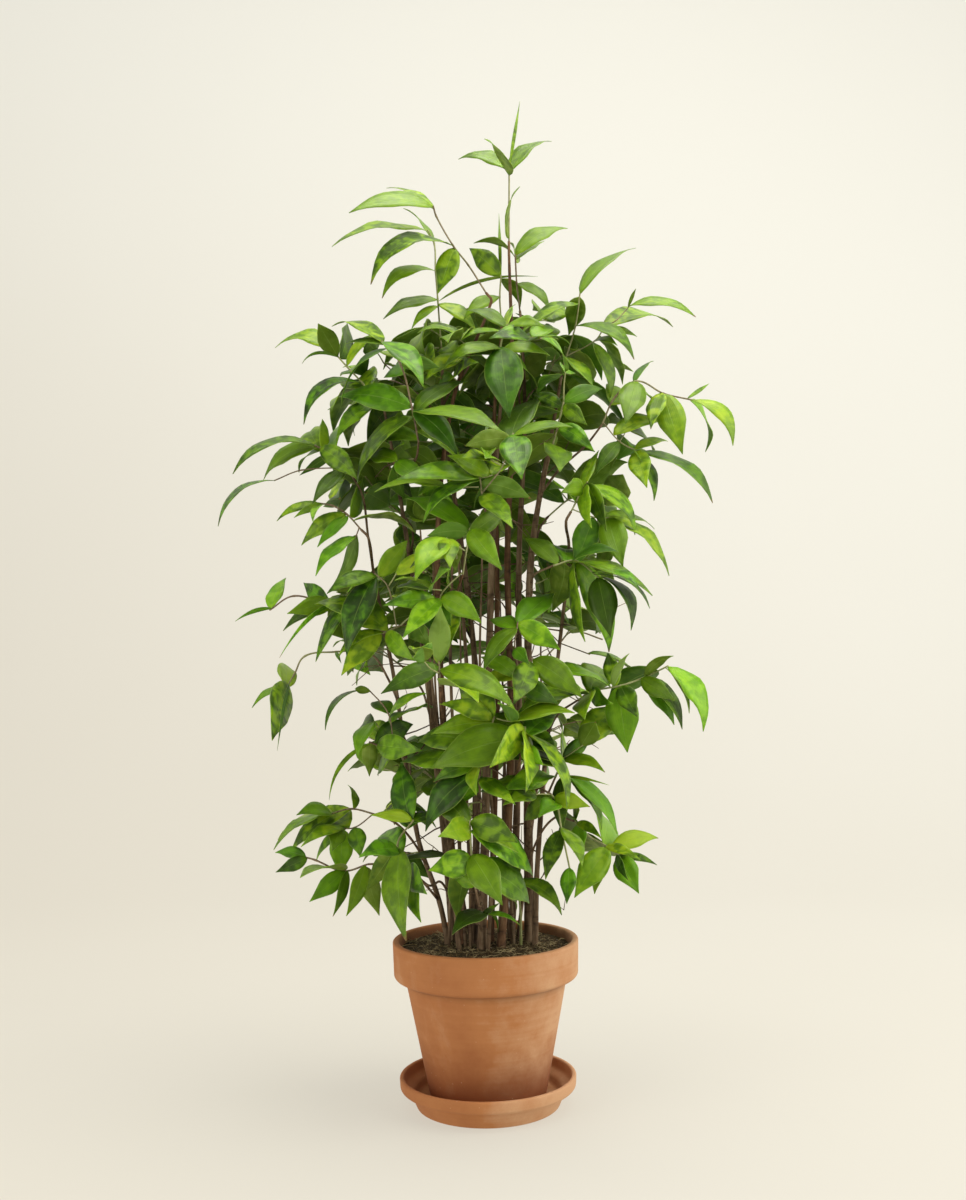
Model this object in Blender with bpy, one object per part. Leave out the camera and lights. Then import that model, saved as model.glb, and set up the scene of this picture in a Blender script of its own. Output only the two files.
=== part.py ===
"""A gold dust dracaena in a clay pot on its saucer: ten canes, their twigs and leafy sprays."""

import math
import random
from collections import namedtuple

import bmesh
import bpy
from mathutils import Vector
from mathutils.bvhtree import BVHTree

MM = 0.001
SEED = 20
GAP = 0.3 * MM
ROUND_STEPS = 28
UP = Vector((0, 0, 1))

# Clay saucer
SAUCER_RADIUS = 99.5 * MM
SAUCER_INNER_RADIUS = 94.4 * MM
SAUCER_HEIGHT = 34 * MM
SAUCER_BAND = 14.5 * MM
SAUCER_BAND_CURVE = 5 * MM
SAUCER_BAND_IN = 3 * MM
SAUCER_NECK_RADIUS = 88 * MM
SAUCER_FOOT_RADIUS = 80 * MM
SAUCER_WELL_RADIUS = 80 * MM
SAUCER_FLOOR = 10 * MM
SAUCER_LIP = 1.6 * MM

# Clay pot
POT_BASE = SAUCER_FLOOR + GAP
POT_TOP = 185 * MM
POT_RADIUS = 105 * MM
POT_WALL = 6.5 * MM
POT_BAND = 37 * MM
POT_BAND_DRAFT = 1 * MM
POT_BAND_CURVE = 5 * MM
POT_SHOULDER = 46 * MM
POT_SHOULDER_RADIUS = 90.5 * MM
POT_FOOT_RADIUS = 65 * MM
POT_FOOT_CURVE = 2.5 * MM
POT_FLOOR = 8 * MM
POT_FLOOR_CURVE = 3 * MM
POT_HOLE_RADIUS = 12 * MM
POT_LIP = 2 * MM

# Soil
SOIL_DROP = 8 * MM
SOIL_DISH = 2 * MM
SOIL_FLAT_RADIUS = 60 * MM
SOIL_SLACK = 0.9 * MM
CANE_DEPTH = 25 * MM
HOLE_SIDES = 8
HOLE_RISE = 20 * MM

# The closing of the short edges that unions leave
SHORT_EDGE = 0.5 * MM
CLEAN_ROUNDS = 12

# Woody canes: (name, foot radius, knots) in millimetres, from the ground up; the last knot only
# stands for the top spray, where the cane ends
CANE_SIDES = 6
CANE_END_RADIUS = 1.5 * MM
CANE_STRAIGHT = 12 * MM
CANE_SLIM = 0.22
CANE_SLIM_TO = 0.6
CANES = (
    ("cane_left_back", 4.2, ((-38, 28, 172), (-46, 30, 300), (-62, 25, 480), (-85, 15, 660))),
    ("cane_left_front", 4.3, ((-27, 4, 172), (-35, 6, 260), (-44, 5, 440), (-46, 0, 640), (-25, -5, 800))),
    ("cane_back", 4.3, ((-14, 34, 172), (-10, 45, 260), (-4, 55, 450), (-20, 55, 640), (-38, 40, 780))),
    ("cane_front", 5.2, ((-4, -24, 172), (-1, -22, 240), (8, -14, 440), (16, -6, 620), (28, -4, 780))),
    ("cane_leader", 4.5, ((18, -18, 172), (24, -10, 240), (34, -2, 440), (34, 8, 620), (44, 10, 800))),
    ("cane_right_back", 4.3, ((30, 24, 172), (36, 32, 260), (44, 34, 440), (48, 30, 620), (58, 24, 780))),
    ("cane_right", 5.5, ((50, 14, 172), (51, 16, 260), (54, 16, 440), (62, 14, 620), (92, 10, 780))),
    ("cane_middle", 3.9, ((6, 12, 172), (10, 20, 260), (18, 30, 440), (22, 34, 620), (22, 30, 780))),
    ("cane_left_thin", 3.1, ((-44, 8, 172), (-52, 10, 225), (-76, 16, 300), (-98, 12, 470), (-120, 0, 600))),
    ("cane_right_thin", 3.3, ((56, -6, 172), (60, -4, 260), (74, 0, 400), (92, 0, 520), (104, -4, 620))),
)

# Twigs and green shoots
TWIG_SIDES = 4
TWIG_ROOT_RADIUS = 2.1 * MM
TWIG_END_RADIUS = 1.6 * MM
TWIG_STATIONS = (0.0, 0.3, 0.68, 1.0)
TWIG_OUT = 0.7
TWIG_ALONG = 0.55
TWIG_PULL = 0.36
TWIG_END_PULL = 0.3
TWIG_END_BULGE = 0.4
TWIG_END_CLEAR = 5 * MM
TWIG_SHARP = 0.5
TWIG_EASE = 2.5 * MM
TWIG_TRIES = 60
TWIG_STEP = 0.6 * MM
TWIG_BULGE = 0.02
SHOOT_SIDES = 4
SHOOT_END_RADIUS = 1.45 * MM
SHOOT_BEYOND = 1.5 * MM
BRANCH_RADIUS = 1.1 * MM
BRANCH_RISE = 3 * MM
KNOT_SWAY = 6
KNOT_SWAY_TURN = 2.4
SPRAY_TRIES = 60
SPRAY_STEP = 4
SPRAY_TURN = 0.5

# Leaves: how each is cut, and how one is turned and tried until it crosses nothing
LEAF_THICKNESS = 1.5 * MM
LEAF_ROOT_HALF = 0.5 * MM
LEAF_ROOT_THICKNESS = 0.6 * MM
LEAF_ARCH = 0.05
BOW_SHARE = 0.55
LEAF_WIDEST = 44 * MM
LEAF_SHAPE = 0.8
LEAF_DRAWN_FROM = 0.55
LEAF_DRAWN_BY = 0.5
LONG_LEAF = 118 * MM
BENT_LEAF = 0.19
LONG_STATIONS = (0.17, 0.42, 0.74)
SHORT_STATIONS = (0.24, 0.63)
SHORT_FULLER = 1.12
LEAF_NECK = 0.045
WHORL_STEP = 2.6 * MM
CLEAR = 0.6 * MM
TURNED_AWAY = 1.06
LEAST_LENGTH = 2.3
MOST_AWAY = 55
LEAF_FULL = 0.34
SMALL_FULL = 0.22
ROLLED_WIDTH = 5 * MM
SMALL_WIDTH = 11 * MM
SMALL_LENGTH = 62 * MM
LEAF_TRIES = 26
TRY_DEPTH = 7
TRY_TURN = 0.02
TRY_WANDER = 0.35
TRY_WANDER_FROM = 6
TRY_SLIM = 0.012

# Sprays seen from the front, in millimetres as seen on the upright plane through the middle of
# the pot: (name, cane, fork height or 0 for the cane's own end, depth, knots, leaves). A knot is
# (x, z) after the one before it, or (x, z, the knot that it grows from). A leaf is (knot, tip x,
# tip z, width as seen, bow), with the width below 0 where the underside shows.
EYE = Vector((4.7, -1490.0, 498.5)) * MM
SPRAYS = (
    ("top_leader", 4, 0, 0, ((43, 985), (44, 1030), (45, 1071)),
     ((2, 59, 1150, 4, 0), (2, -15, 1085, 12, 0.16), (2, 95, 1104, 12, 0.12), (2, 22, 1109, -20, 0),
      (0, 53, 1050, -6, 0.05))),
    ("top_right", 5, 0, 10, ((54, 903), (51, 935), (50, 968)),
     ((2, 112, 1000, 16, 0.12), (2, 2, 982, -9, 0.2), (2, 84, 984, 7, 0), (1, 90, 903, 12, 0.12),
      (2, 40, 985, 8, 0))),
    ("top_middle", 7, 0, 16, ((32, 893), (31, 920), (33, 944)),
     ((2, -4, 978, 24, 0.05), (2, 54, 905, 16, 0.15), (2, 32, 1018, 4, 0), (1, -12, 895, 14, 0.1))),
    ("top_left", 1, 0, -8, ((15, 925), (-5, 958), (-22, 981), (-41, 1016), (-44, 1027)),
     ((4, -142, 1021, 19, 0.12), (4, -98, 1054, 7, 0.04), (2, -122, 940, 16, 0.3),
      (2, -40, 925, -28, 0))),
    ("top_thin", 2, 0, 22, ((-38, 862), (-41, 918), (-43, 952), (-44, 984), (-51, 999)),
     ((4, -165, 987, 9, 0.08), (3, -78, 1028, 6, 0), (2, -107, 922, 13, 0.28), (1, -105, 897, 13, 0.1),
      (1, 75, 942, 4, 0.16), (1, 4, 880, 15, 0.1), (1, -72, 884, 10, 0.1))),
    ("left_top", 0, 0, -10, ((-112, 798), (-130, 822), (-148, 842), (-159, 855)),
     ((3, -231, 866, 13, 0.3), (3, -181, 894, -24, 0), (3, -201, 846, 4, 0.3), (3, -146, 892, 16, 0),
      (1, -198, 775, 14, 0.35), (2, -112, 882, 12, 0.1), (0, -162, 756, 18, 0.1))),
    ("upper_left", 0, 700, -72, ((-66, 752), (-73, 792), (-85, 842), (-106, 870)),
     ((1, -158, 808, 28, 0.08), (1, -21, 736, 25, 0.1), (1, 30, 762, 12, 0.05),
      (1, -8, 822, 15, 0.1), (3, -58, 820, 28, 0.05), (3, -165, 893, 10, 0.12),
      (2, -40, 838, 16, 0.12), (3, -150, 868, 6, 0.1), (0, -118, 756, 18, 0.1))),
    ("upper_middle", 3, 0, -46, ((34, 838), (31, 862), (39, 886)),
     ((1, 39, 778, 42, 0), (1, -38, 838, 14, 0.15), (2, 82, 884, 13, 0.1), (2, -8, 905, 12, 0.1),
      (2, 47, 912, 9, 0), (1, 88, 850, 12, 0.12))),
    ("right_top", 6, 0, -6, ((106, 846), (118, 884), (124, 921), (140, 866, 0), (152, 881), (166, 890),
                             (181, 906)),
     ((2, 190, 975, 11, 0.1), (2, 110, 873, -25, 0), (1, 187, 845, 14, 0.2), (3, 166, 860, 10, 0.1),
      (0, 137, 813, 16, 0), (6, 258, 892, 11, 0.14), (4, 228, 879, 10, 0.12), (4, 191, 872, 8, 0.05),
      (3, 158, 800, 15, 0.05), (6, 188, 926, 5, 0))),
    ("upper_right", 6, 660, -58, ((88, 744), (95, 768), (102, 794)),
     ((2, 149, 811, 18, 0.1), (2, 128, 768, 18, 0.05), (2, 66, 806, 16, 0.05), (1, 136, 738, 20, 0.05),
      (1, 58, 768, 14, 0.05), (0, 98, 712, 24, 0))),
    ("right_far", 6, 690, -34, ((146, 768), (162, 800), (187, 818), (218, 803), (250, 795),
                                (166, 748, 0), (187, 736)),
     ((2, 173, 769, 30, 0), (3, 238, 733, 32, 0), (4, 298, 741, 15, 0.28), (4, 269, 733, 12, 0.15),
      (4, 271, 813, 5, 0), (3, 202, 762, 20, 0), (2, 208, 842, 9, 0), (6, 275, 677, 14, 0.16),
      (6, 196, 694, 26, 0), (5, 137, 711, 17, 0.05), (5, 155, 716, 12, 0), (6, 222, 748, 10, 0.05),
      (6, 206, 679, 10, 0.1))),
    ("right_middle", 9, 0, -66, ((108, 668), (119, 688), (127, 701), (134, 661, 0), (150, 660)),
     ((2, 148, 644, 18, 0.1), (2, 130, 649, 14, 0), (2, 184, 640, 16, 0.25), (2, 97, 690, 20, 0.1),
      (2, 142, 738, 12, 0), (4, 166, 604, 30, 0), (4, 217, 591, 15, 0.18), (3, 110, 603, 28, 0),
      (4, 201, 645, 9, 0.1))),
    ("right_hanging", 6, 545, -92, ((86, 606), (112, 611), (137, 592)),
     ((2, 150, 523, 30, 0), (2, 174, 530, 12, 0.3), (2, 199, 557, 6, 0.15), (2, 185, 576, 14, 0.1),
      (1, 149, 508, 24, 0.05), (1, 122, 518, 12, 0), (0, 20, 592, 20, 0.1), (0, 52, 640, 18, 0.05),
      (1, 160, 618, 16, 0.1), (1, 200, 570, 8, 0.1))),
    ("right_fan", 9, 415, -70, ((112, 452), (126, 461), (160, 467), (190, 477), (214, 488)),
     ((2, 178, 431, 22, 0), (2, 166, 391, 37, 0), (2, 146, 506, 19, 0), (3, 230, 416, 16, 0.12),
      (4, 256, 413, 21, 0.2), (3, 222, 500, -12, 0.1), (3, 221, 421, 19, 0.08), (3, 222, 449, 20, 0),
      (4, 239, 434, 5, 0.1), (1, 148, 446, 18, 0), (2, 172, 504, -10, 0.05), (1, 120, 430, 20, 0))),
    ("middle_right", 4, 440, -122, ((46, 470), (60, 499), (40, 512, 0), (44, 541)),
     ((1, 116, 454, 28, 0.08), (1, 38, 449, 28, 0), (0, 88, 448, 22, 0), (3, 92, 509, 24, 0.05),
      (3, 88, 577, 24, 0), (3, 3, 487, 18, 0.08), (2, 56, 494, 15, 0), (3, 10, 545, 18, 0.05))),
    ("lower_middle_fan", 4, 345, -128, ((46, 396), (50, 421)),
     ((1, 8, 377, 24, 0.05), (1, 50, 349, 24, 0), (1, 96, 327, 12, 0.2), (1, -4, 434, 20, 0.1),
      (1, 86, 434, 22, 0.05), (0, 70, 378, 18, 0))),
    ("lower_right", 9, 320, -60, ((84, 366), (92, 385), (98, 365, 0)),
     ((1, 127, 409, 17, 0.05), (1, 140, 369, 15, 0.15), (2, 153, 299, 16, 0.1), (2, 137, 304, 14, 0.12),
      (2, 142, 353, 4, 0.05), (1, 90, 434, 18, 0), (2, 90, 300, 18, 0))),
    ("low_right", 6, 250, -48, ((104, 314), (120, 297), (145, 282), (153, 273)),
     ((2, 200, 294, 19, 0.12), (2, 102, 228, 30, 0.05), (2, 124, 231, 18, 0), (3, 175, 232, 26, 0),
      (3, 197, 263, 9, 0.1), (0, 134, 294, 12, 0.1), (3, 162, 247, 10, 0), (2, 178, 271, 11, 0),
      (0, 112, 278, 18, 0))),
    ("low_right_hanging", 6, 275, -92, ((78, 345), (84, 336), (89, 305), (97, 262)),
     ((3, 93, 221, 18, 0), (2, 69, 249, 19, 0.05), (1, 64, 321, 22, 0), (2, 112, 262, 20, 0.05),
      (0, 46, 318, 24, 0), (0, 122, 330, 18, 0.05))),
    ("low_middle", 3, 215, -136, ((-10, 240), (-14, 279), (-15, 316)),
     ((2, 39, 291, 27, 0.08), (2, 39, 279, 12, 0), (2, -58, 360, 28, 0), (2, -50, 300, 26, 0.05),
      (1, 20, 222, 33, 0), (1, -28, 206, 22, 0), (1, -63, 262, 30, 0), (0, -34, 251, 12, 0.1))),
    ("low_front", 3, 196, -74, ((-6, 208), (1, 213)),
     ((1, -40, 194, 18, 0.05), (1, 14, 189, 5, 0.2), (1, 39, 198, 5, 0.2), (1, 17, 224, 6, 0))),
    ("left_fan", 8, 345, -56, ((-98, 396), (-127, 408), (-106, 440, 0), (-128, 468)),
     ((1, -128, 370, 19, 0), (1, -175, 343, 5, 0.3), (1, -76, 428, 26, 0.1), (1, -70, 398, 28, 0),
      (0, -118, 373, 22, 0), (3, -179, 423, 5, 0.3), (3, -147, 470, 10, 0), (2, -122, 455, 19, 0),
      (2, -62, 462, 14, 0.1))),
    ("left_low", 8, 270, -34, ((-122, 326), (-150, 333), (-172, 328), (-146, 312, 0), (-163, 311)),
     ((2, -211, 328, 17, 0.1), (2, -236, 304, 13, 0.12), (2, -240, 289, 8, 0.15), (1, -217, 284, 20, 0.1),
      (1, -153, 359, 8, 0.1), (4, -172, 286, 19, 0), (4, -164, 258, 26, 0), (4, -207, 289, 12, 0.1),
      (4, -192, 274, 9, 0.1), (3, -140, 278, 20, 0))),
    ("left_low_outer", 8, 225, -52, ((-132, 270), (-160, 263), (-192, 276), (-202, 279)),
     ((3, -237, 285, 13, 0.1), (3, -237, 263, 15, 0), (1, -212, 254, 24, 0), (1, -199, 229, 20, 0),
      (1, -172, 212, 11, 0), (0, -157, 212, 18, 0), (0, -120, 212, 24, 0))),
    ("left_low_inner", 0, 230, -100, ((-82, 262), (-98, 290), (-80, 318)),
     ((1, -135, 239, 23, 0), (1, -92, 183, 35, 0), (0, -74, 203, 17, 0), (0, -64, 232, 20, 0),
      (1, -142, 282, 22, 0.05), (2, -128, 325, 13, 0.05), (2, -48, 325, 14, 0.05), (2, -92, 386, 28, 0))),
    ("left_bent", 8, 455, 0, ((-138, 513), (-165, 512), (-200, 508), (-213, 487), (-222, 472)),
     ((4, -226, 503, 20, 0), (4, -262, 450, 8, 0.12), (4, -241, 410, 19, 0.1), (4, -235, 399, 5, 0.05),
      (1, -160, 498, 5, 0))),
    ("left_middle", 8, 520, -26, ((-145, 572), (-170, 567), (-212, 577), (-239, 562)),
     ((1, -201, 592, 21, 0), (1, -220, 557, 23, 0.05), (1, -225, 537, 14, 0.1), (0, -188, 501, 16, 0),
      (1, -225, 510, 7, 0.15), (3, -221, 598, 17, 0.05), (3, -280, 549, 5, 0.15))),
    ("left_middle_front", 0, 505, -84, ((-92, 540), (-112, 532), (-104, 585, 0), (-118, 600)),
     ((1, -159, 485, 25, 0.1), (1, -163, 504, 11, 0.25), (3, -154, 508, 30, 0.05), (3, -175, 580, 16, 0.1),
      (1, -76, 500, 20, 0), (3, -80, 640, 22, 0))),
    ("left_upper", 8, 600, -22, ((-148, 722), (-166, 740), (-185, 750), (-202, 722, 0), (-232, 711)),
     ((2, -284, 722, 11, 0.2), (2, -248, 714, 15, 0.2), (2, -137, 710, 24, 0.1), (4, -299, 659, 7, 0.25),
      (1, -203, 716, 12, 0), (0, -190, 684, 18, 0), (1, -150, 780, 16, 0.05), (2, -176, 782, 12, 0))),
    ("left_upper_inner", 8, 0, -44, ((-134, 652), (-150, 670), (-166, 680), (-180, 683), (-140, 644, 0)),
     ((3, -232, 665, 9, 0.12), (3, -211, 667, 9, 0.1), (3, -189, 662, 8, 0.1), (1, -202, 636, 20, 0.1),
      (1, -185, 633, 13, 0), (4, -188, 600, 14, 0.1), (4, -160, 589, 14, 0),
      (1, -128, 712, 16, 0.05))),
    ("middle_top", 3, 640, -112, ((6, 688), (4, 709), (30, 722, 0), (43, 759)),
     ((1, -93, 707, 19, 0.1), (1, -62, 658, 15, 0.2), (1, 62, 684, 22, 0.1), (0, 40, 652, 24, 0),
      (3, 52, 707, 33, 0), (3, 112, 766, 13, 0.1), (3, -14, 746, 22, 0.08), (3, 78, 800, 16, 0.05))),
    ("middle", 1, 545, -128, ((-18, 598), (-9, 650), (-40, 580, 0), (-46, 567)),
     ((1, 26, 603, 28, 0), (1, -58, 643, 19, 0.1), (1, -84, 690, 20, 0.05), (1, 36, 672, 20, 0.05),
      (3, -110, 564, 19, 0.08), (3, -33, 539, 15, 0), (3, -88, 527, 22, 0), (3, 2, 542, 24, 0.1))),
    ("middle_left", 1, 425, -140, ((-46, 470), (-47, 498)),
     ((1, -44, 563, -22, 0), (1, -20, 570, 19, 0), (1, -114, 463, 24, 0.08), (1, 40, 445, 26, 0.08),
      (0, -6, 458, 20, 0))),
    ("lower_middle", 3, 320, -124, ((-4, 362), (-4, 385), (6, 410, 1), (15, 433)),
     ((3, -28, 492, 30, 0), (3, -47, 450, 20, 0.1), (3, -59, 417, 22, 0.05), (1, 40, 402, 22, 0),
      (1, -9, 348, 16, 0), (1, -57, 362, 17, 0.1), (1, -94, 386, 24, 0.05), (0, 37, 334, 19, 0))),
)

# The thin green shoot that stands in the soil
SHOOT_RADII = (2.4 * MM, 2.4 * MM, 2.3 * MM, 1.9 * MM, 1.2 * MM)
SHOOT_KNOTS = ((40, -9, 172), (40, -12, 215), (37, -22, 252))
SHOOT_LEAVES = ((88, 209, 16, 0.2), (41, 292, 11, 0), (4, 262, 14, 0.1))
SOIL_SHOOT_SIDES = 6

# Sprays round the back: (name, cane, fork height, turn in degrees from the right over the back,
# reach, height), in millimetres, each with its leaves drawn by rule
BACK_SPRAYS = (
    ("back_crown", 2, 800, 100, 78, 872),
    ("back_upper_right", 5, 760, 38, 122, 850),
    ("back_upper_left", 2, 700, 138, 125, 830),
    ("back_high", 7, 690, 84, 138, 770),
    ("back_right", 6, 600, 26, 142, 690),
    ("back_left", 0, 600, 156, 140, 690),
    ("back_middle_right", 5, 540, 62, 152, 620),
    ("back_middle_left", 2, 520, 114, 152, 600),
    ("back_lower_right", 6, 450, 36, 140, 520),
    ("back_lower_left", 0, 420, 144, 145, 500),
    ("back_low_left", 0, 290, 120, 148, 360),
    ("back_low_right", 5, 320, 58, 148, 400),
)
# The knots of a back spray from its foot: millimetres outwards, across and up, and the knot before
BACK_KNOTS = (
    (-48, 0, -22, -1), (-22, 0, -2, 0), (8, 8, 12, 1), (36, -10, 2, 2), (-18, 42, 24, 1), (-14, -44, -16, 1),
)
BACK_WHORL = 3
BRANCH_WHORL = 2
BRANCH_FROM = 4
FILL_WHORL = 1
FILL_FROM = 4
DENSE_SPRAYS = ("left_upper", "left_upper_inner")
UNFILLED_SPRAYS = ("top", "middle")
BACK_LENGTH = (76, 104)
BACK_WIDTH = (0.39, 0.47)
BACK_RISE = (-52, 26)
BACK_ARCH = (0.06, 0.16)
BACK_ROLL = 0.35
BACK_TURN = 0.3
BACK_TURN_MORE = 0.15
BACK_TRIES = 14
FACE_LEAN = 0.9

# What the back leaves leave clear: the width of the plant at each height, and its gaps
OUTLINE = (
    (150, -40, 40), (190, -80, 60), (230, -130, 95), (260, -190, 150), (300, -205, 160), (340, -190, 125),
    (380, -150, 110), (420, -145, 170), (460, -140, 225), (500, -160, 190), (540, -190, 150),
    (580, -195, 165), (620, -160, 165), (660, -175, 160), (700, -205, 190), (740, -220, 230),
    (780, -190, 230), (820, -160, 190), (860, -150, 165), (885, -110, 140), (905, -70, 120), (916, -20, 80),
)
WINDOWS = (
    (-100, 455, -52, 496), (-98, 506, -84, 556), (62, 503, 102, 528), (70, 412, 96, 434),
    (56, 268, 76, 322), (-72, 284, -42, 303), (-60, 205, -40, 252), (117, 556, 136, 590),
    (-44, 434, -28, 496), (-95, 414, -66, 434), (-4, 536, 4, 588), (22, 535, 30, 565),
    (-130, 250, -104, 262), (-150, 292, -118, 334), (-150, 340, -104, 372), (60, 214, 100, 240),
    (-146, 608, -98, 662), (83, 628, 114, 683), (114, 648, 135, 676), (94, 498, 130, 528),
    (150, 500, 200, 560), (-200, 680, -172, 738), (-140, 440, -108, 480),
)

Leaf = namedtuple("Leaf", "root tip width side bow under")
Spray = namedtuple("Spray", "name cane fork knots parents shoots leaves")


# Places and curves

def seen(x, z, depth):
    """The point at this depth that shows at (x, z) on the upright plane through the pot."""
    share = (depth * MM - EYE.y) / -EYE.y
    return EYE + (Vector((x, 0, z)) * MM - EYE) * share


def shown(point):
    """(x, z) in millimetres at which a point shows on that plane."""
    share = -EYE.y / (point.y - EYE.y)
    flat = EYE + (point - EYE) * share
    return flat.x / MM, flat.z / MM


def curve_point(a, b, c, d, t):
    """The point at t of the cubic curve with these ends and handles."""
    u = 1 - t
    return a * u ** 3 + b * 3 * u * u * t + c * 3 * u * t * t + d * t ** 3


def midrib(leaf, s):
    """The point and the direction at the share s of a leaf's midrib."""
    reach = leaf.tip - leaf.root
    first = leaf.root + reach / 3 + leaf.bow * 4 / 3
    second = leaf.root + reach * 2 / 3 + leaf.bow * 4 / 3
    u = 1 - s
    way = (first - leaf.root) * u * u + (second - first) * 2 * u * s + (leaf.tip - second) * s * s
    return curve_point(leaf.root, first, second, leaf.tip, s), way.normalized()


def blade_share(s):
    """The share of a leaf's half width at s: broad before the middle, drawn out to the tip."""
    drawn = max(0.0, (s - LEAF_DRAWN_FROM) / (1 - LEAF_DRAWN_FROM))
    return math.sin(math.pi * s ** LEAF_SHAPE) * (1 - LEAF_DRAWN_BY * drawn)


def blade_frame(leaf, s):
    """The midrib point, the side and the upward face direction at s."""
    point, way = midrib(leaf, s)
    side = (leaf.side - way * leaf.side.dot(way)).normalized()
    return point, side, side.cross(way).normalized()


# Meshes as plain lists of points and faces

def tube(way, radii, sides, end_way=None, start_way=None):
    """A closed tube along the points of way."""
    points = []
    faces = []
    across = None
    for i, point in enumerate(way):
        before = way[max(i - 1, 0)]
        after = way[min(i + 1, len(way) - 1)]
        along = (after - before).normalized()
        if i == 0 and start_way:
            along = start_way
        if i == len(way) - 1 and end_way:
            along = end_way
        if across is None:
            across = along.orthogonal().normalized()
        across = (across - along * across.dot(along)).normalized()
        over = along.cross(across)
        for k in range(sides):
            turn = math.tau * k / sides
            points.append(point + (across * math.cos(turn) + over * math.sin(turn)) * radii[i])
    for i in range(len(way) - 1):
        for k in range(sides):
            a = i * sides + k
            b = i * sides + (k + 1) % sides
            faces.append((a, b, b + sides))
            faces.append((a, b + sides, a + sides))
    last = (len(way) - 1) * sides
    faces.append(tuple(reversed(range(sides))))
    faces.append(tuple(range(last, last + sides)))
    return points, faces


def blade(leaf, extra=0.0, start=0.0):
    """A closed leaf: flat below and ridged above at each station, from the root to the tip."""
    reach = (leaf.tip - leaf.root).length
    long = reach > LONG_LEAF or leaf.bow.length > BENT_LEAF * reach
    fuller = 1 if long else SHORT_FULLER
    stations = [s for s in (LONG_STATIONS if long else SHORT_STATIONS) if s > start]
    points = []
    faces = []
    ups = []
    for s in [start] + stations:
        point, side, up = blade_frame(leaf, s)
        share = min(s / stations[0], 1)
        at = max(s, stations[0])
        broad = max(leaf.width / 2 * blade_share(at) * fuller, LEAF_ROOT_HALF)
        half = LEAF_ROOT_HALF + (broad - LEAF_ROOT_HALF) * share + extra
        thick = LEAF_ROOT_THICKNESS + (LEAF_THICKNESS - LEAF_ROOT_THICKNESS) * share
        floor = point - up * (thick / 3 + extra)
        points += [floor - side * half, point + up * (thick * 2 / 3 + extra), floor + side * half]
        ups.append(up)
    for i in range(len(stations)):
        left, ridge, right = 3 * i, 3 * i + 1, 3 * i + 2
        faces += [(left, ridge, ridge + 3), (left, ridge + 3, left + 3),
                  (ridge, right, right + 3), (ridge, right + 3, ridge + 3)]
        rising = (points[left] + points[right + 3] - points[right] - points[left + 3]).dot(ups[i])
        if rising < 0:
            faces += [(right, left, right + 3), (left, left + 3, right + 3)]
        else:
            faces += [(right, left, left + 3), (right, left + 3, right + 3)]
    last = 3 * len(stations)
    point, way = midrib(leaf, 1)
    points.append(point + way * extra)
    tip = last + 3
    faces += [(last, last + 1, tip), (last + 1, last + 2, tip), (last + 2, last, tip), (0, 2, 1)]
    return points, faces


# Keeping clear of what is there

class Room:
    """What is already placed, so that a new shape can be tried against it."""

    def __init__(self):
        self.things = []

    def add(self, owner, points, faces):
        """Notes a placed shape."""
        low = [min(p[k] for p in points) for k in range(3)]
        high = [max(p[k] for p in points) for k in range(3)]
        self.things.append((owner, low, high, BVHTree.FromPolygons(points, faces)))

    def crossed(self, points, faces, skip=()):
        """The owner of a placed shape that this one crosses, or None."""
        low = [min(p[k] for p in points) for k in range(3)]
        high = [max(p[k] for p in points) for k in range(3)]
        tree = None
        for owner, near, far, other in self.things:
            if owner in skip or any(low[k] > far[k] or high[k] < near[k] for k in range(3)):
                continue
            tree = tree or BVHTree.FromPolygons(points, faces)
            if tree.overlap(other):
                return owner
        return None


def thick_tube(way, radii):
    """A tube with the clearance round it."""
    return tube(way, [r + CLEAR for r in radii], CANE_SIDES)


# Canes, twigs and shoots

def cane_way(index, top, top_way):
    """The points of a cane from its foot in the soil to its top, and the radius at each."""
    _, radius, knots = CANES[index]
    foot = Vector(knots[0]) * MM
    way = [foot - UP * CANE_DEPTH, foot, foot + UP * CANE_STRAIGHT]
    way += [Vector(knot) * MM for knot in knots[1:]]
    way += [top - top_way * CANE_STRAIGHT, top]
    radii = []
    for point in way:
        share = (point.z - foot.z) / (top.z - foot.z)
        slim = 1 - CANE_SLIM * min(max(share, 0) / CANE_SLIM_TO, 1)
        end = max(0.0, (share - CANE_SLIM_TO) / (1 - CANE_SLIM_TO))
        radii.append(radius * MM * slim * (1 - end) + CANE_END_RADIUS * end)
    return way, radii


def at_height(way, radii, height):
    """The point and direction of a cane at a height."""
    for near, far in zip(way, way[1:]):
        if near.z <= height <= far.z:
            share = (height - near.z) / (far.z - near.z)
            return near.lerp(far, share), (far - near).normalized()
    return way[-2], (way[-1] - way[-2]).normalized()


def spray_knots(row, shift):
    """The knots of a spray's shoots in space, and the knot that each grows from."""
    places = []
    parents = []
    for i, knot in enumerate(row[4]):
        parents.append(knot[2] if len(knot) > 2 else i - 1)
        sway = KNOT_SWAY * math.sin(KNOT_SWAY_TURN * i)
        places.append(seen(knot[0], knot[1], row[3] + shift + sway))
    return places, parents


def shoot_chains(parents):
    """The knots as chains: the first from knot 0, each other one from the knot it grows from."""
    chains = [[0]]
    for i, parent in enumerate(parents[1:], 1):
        if parent == i - 1 and chains[-1][-1] == parent:
            chains[-1].append(i)
        else:
            chains.append([parent, i])
    return chains


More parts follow.
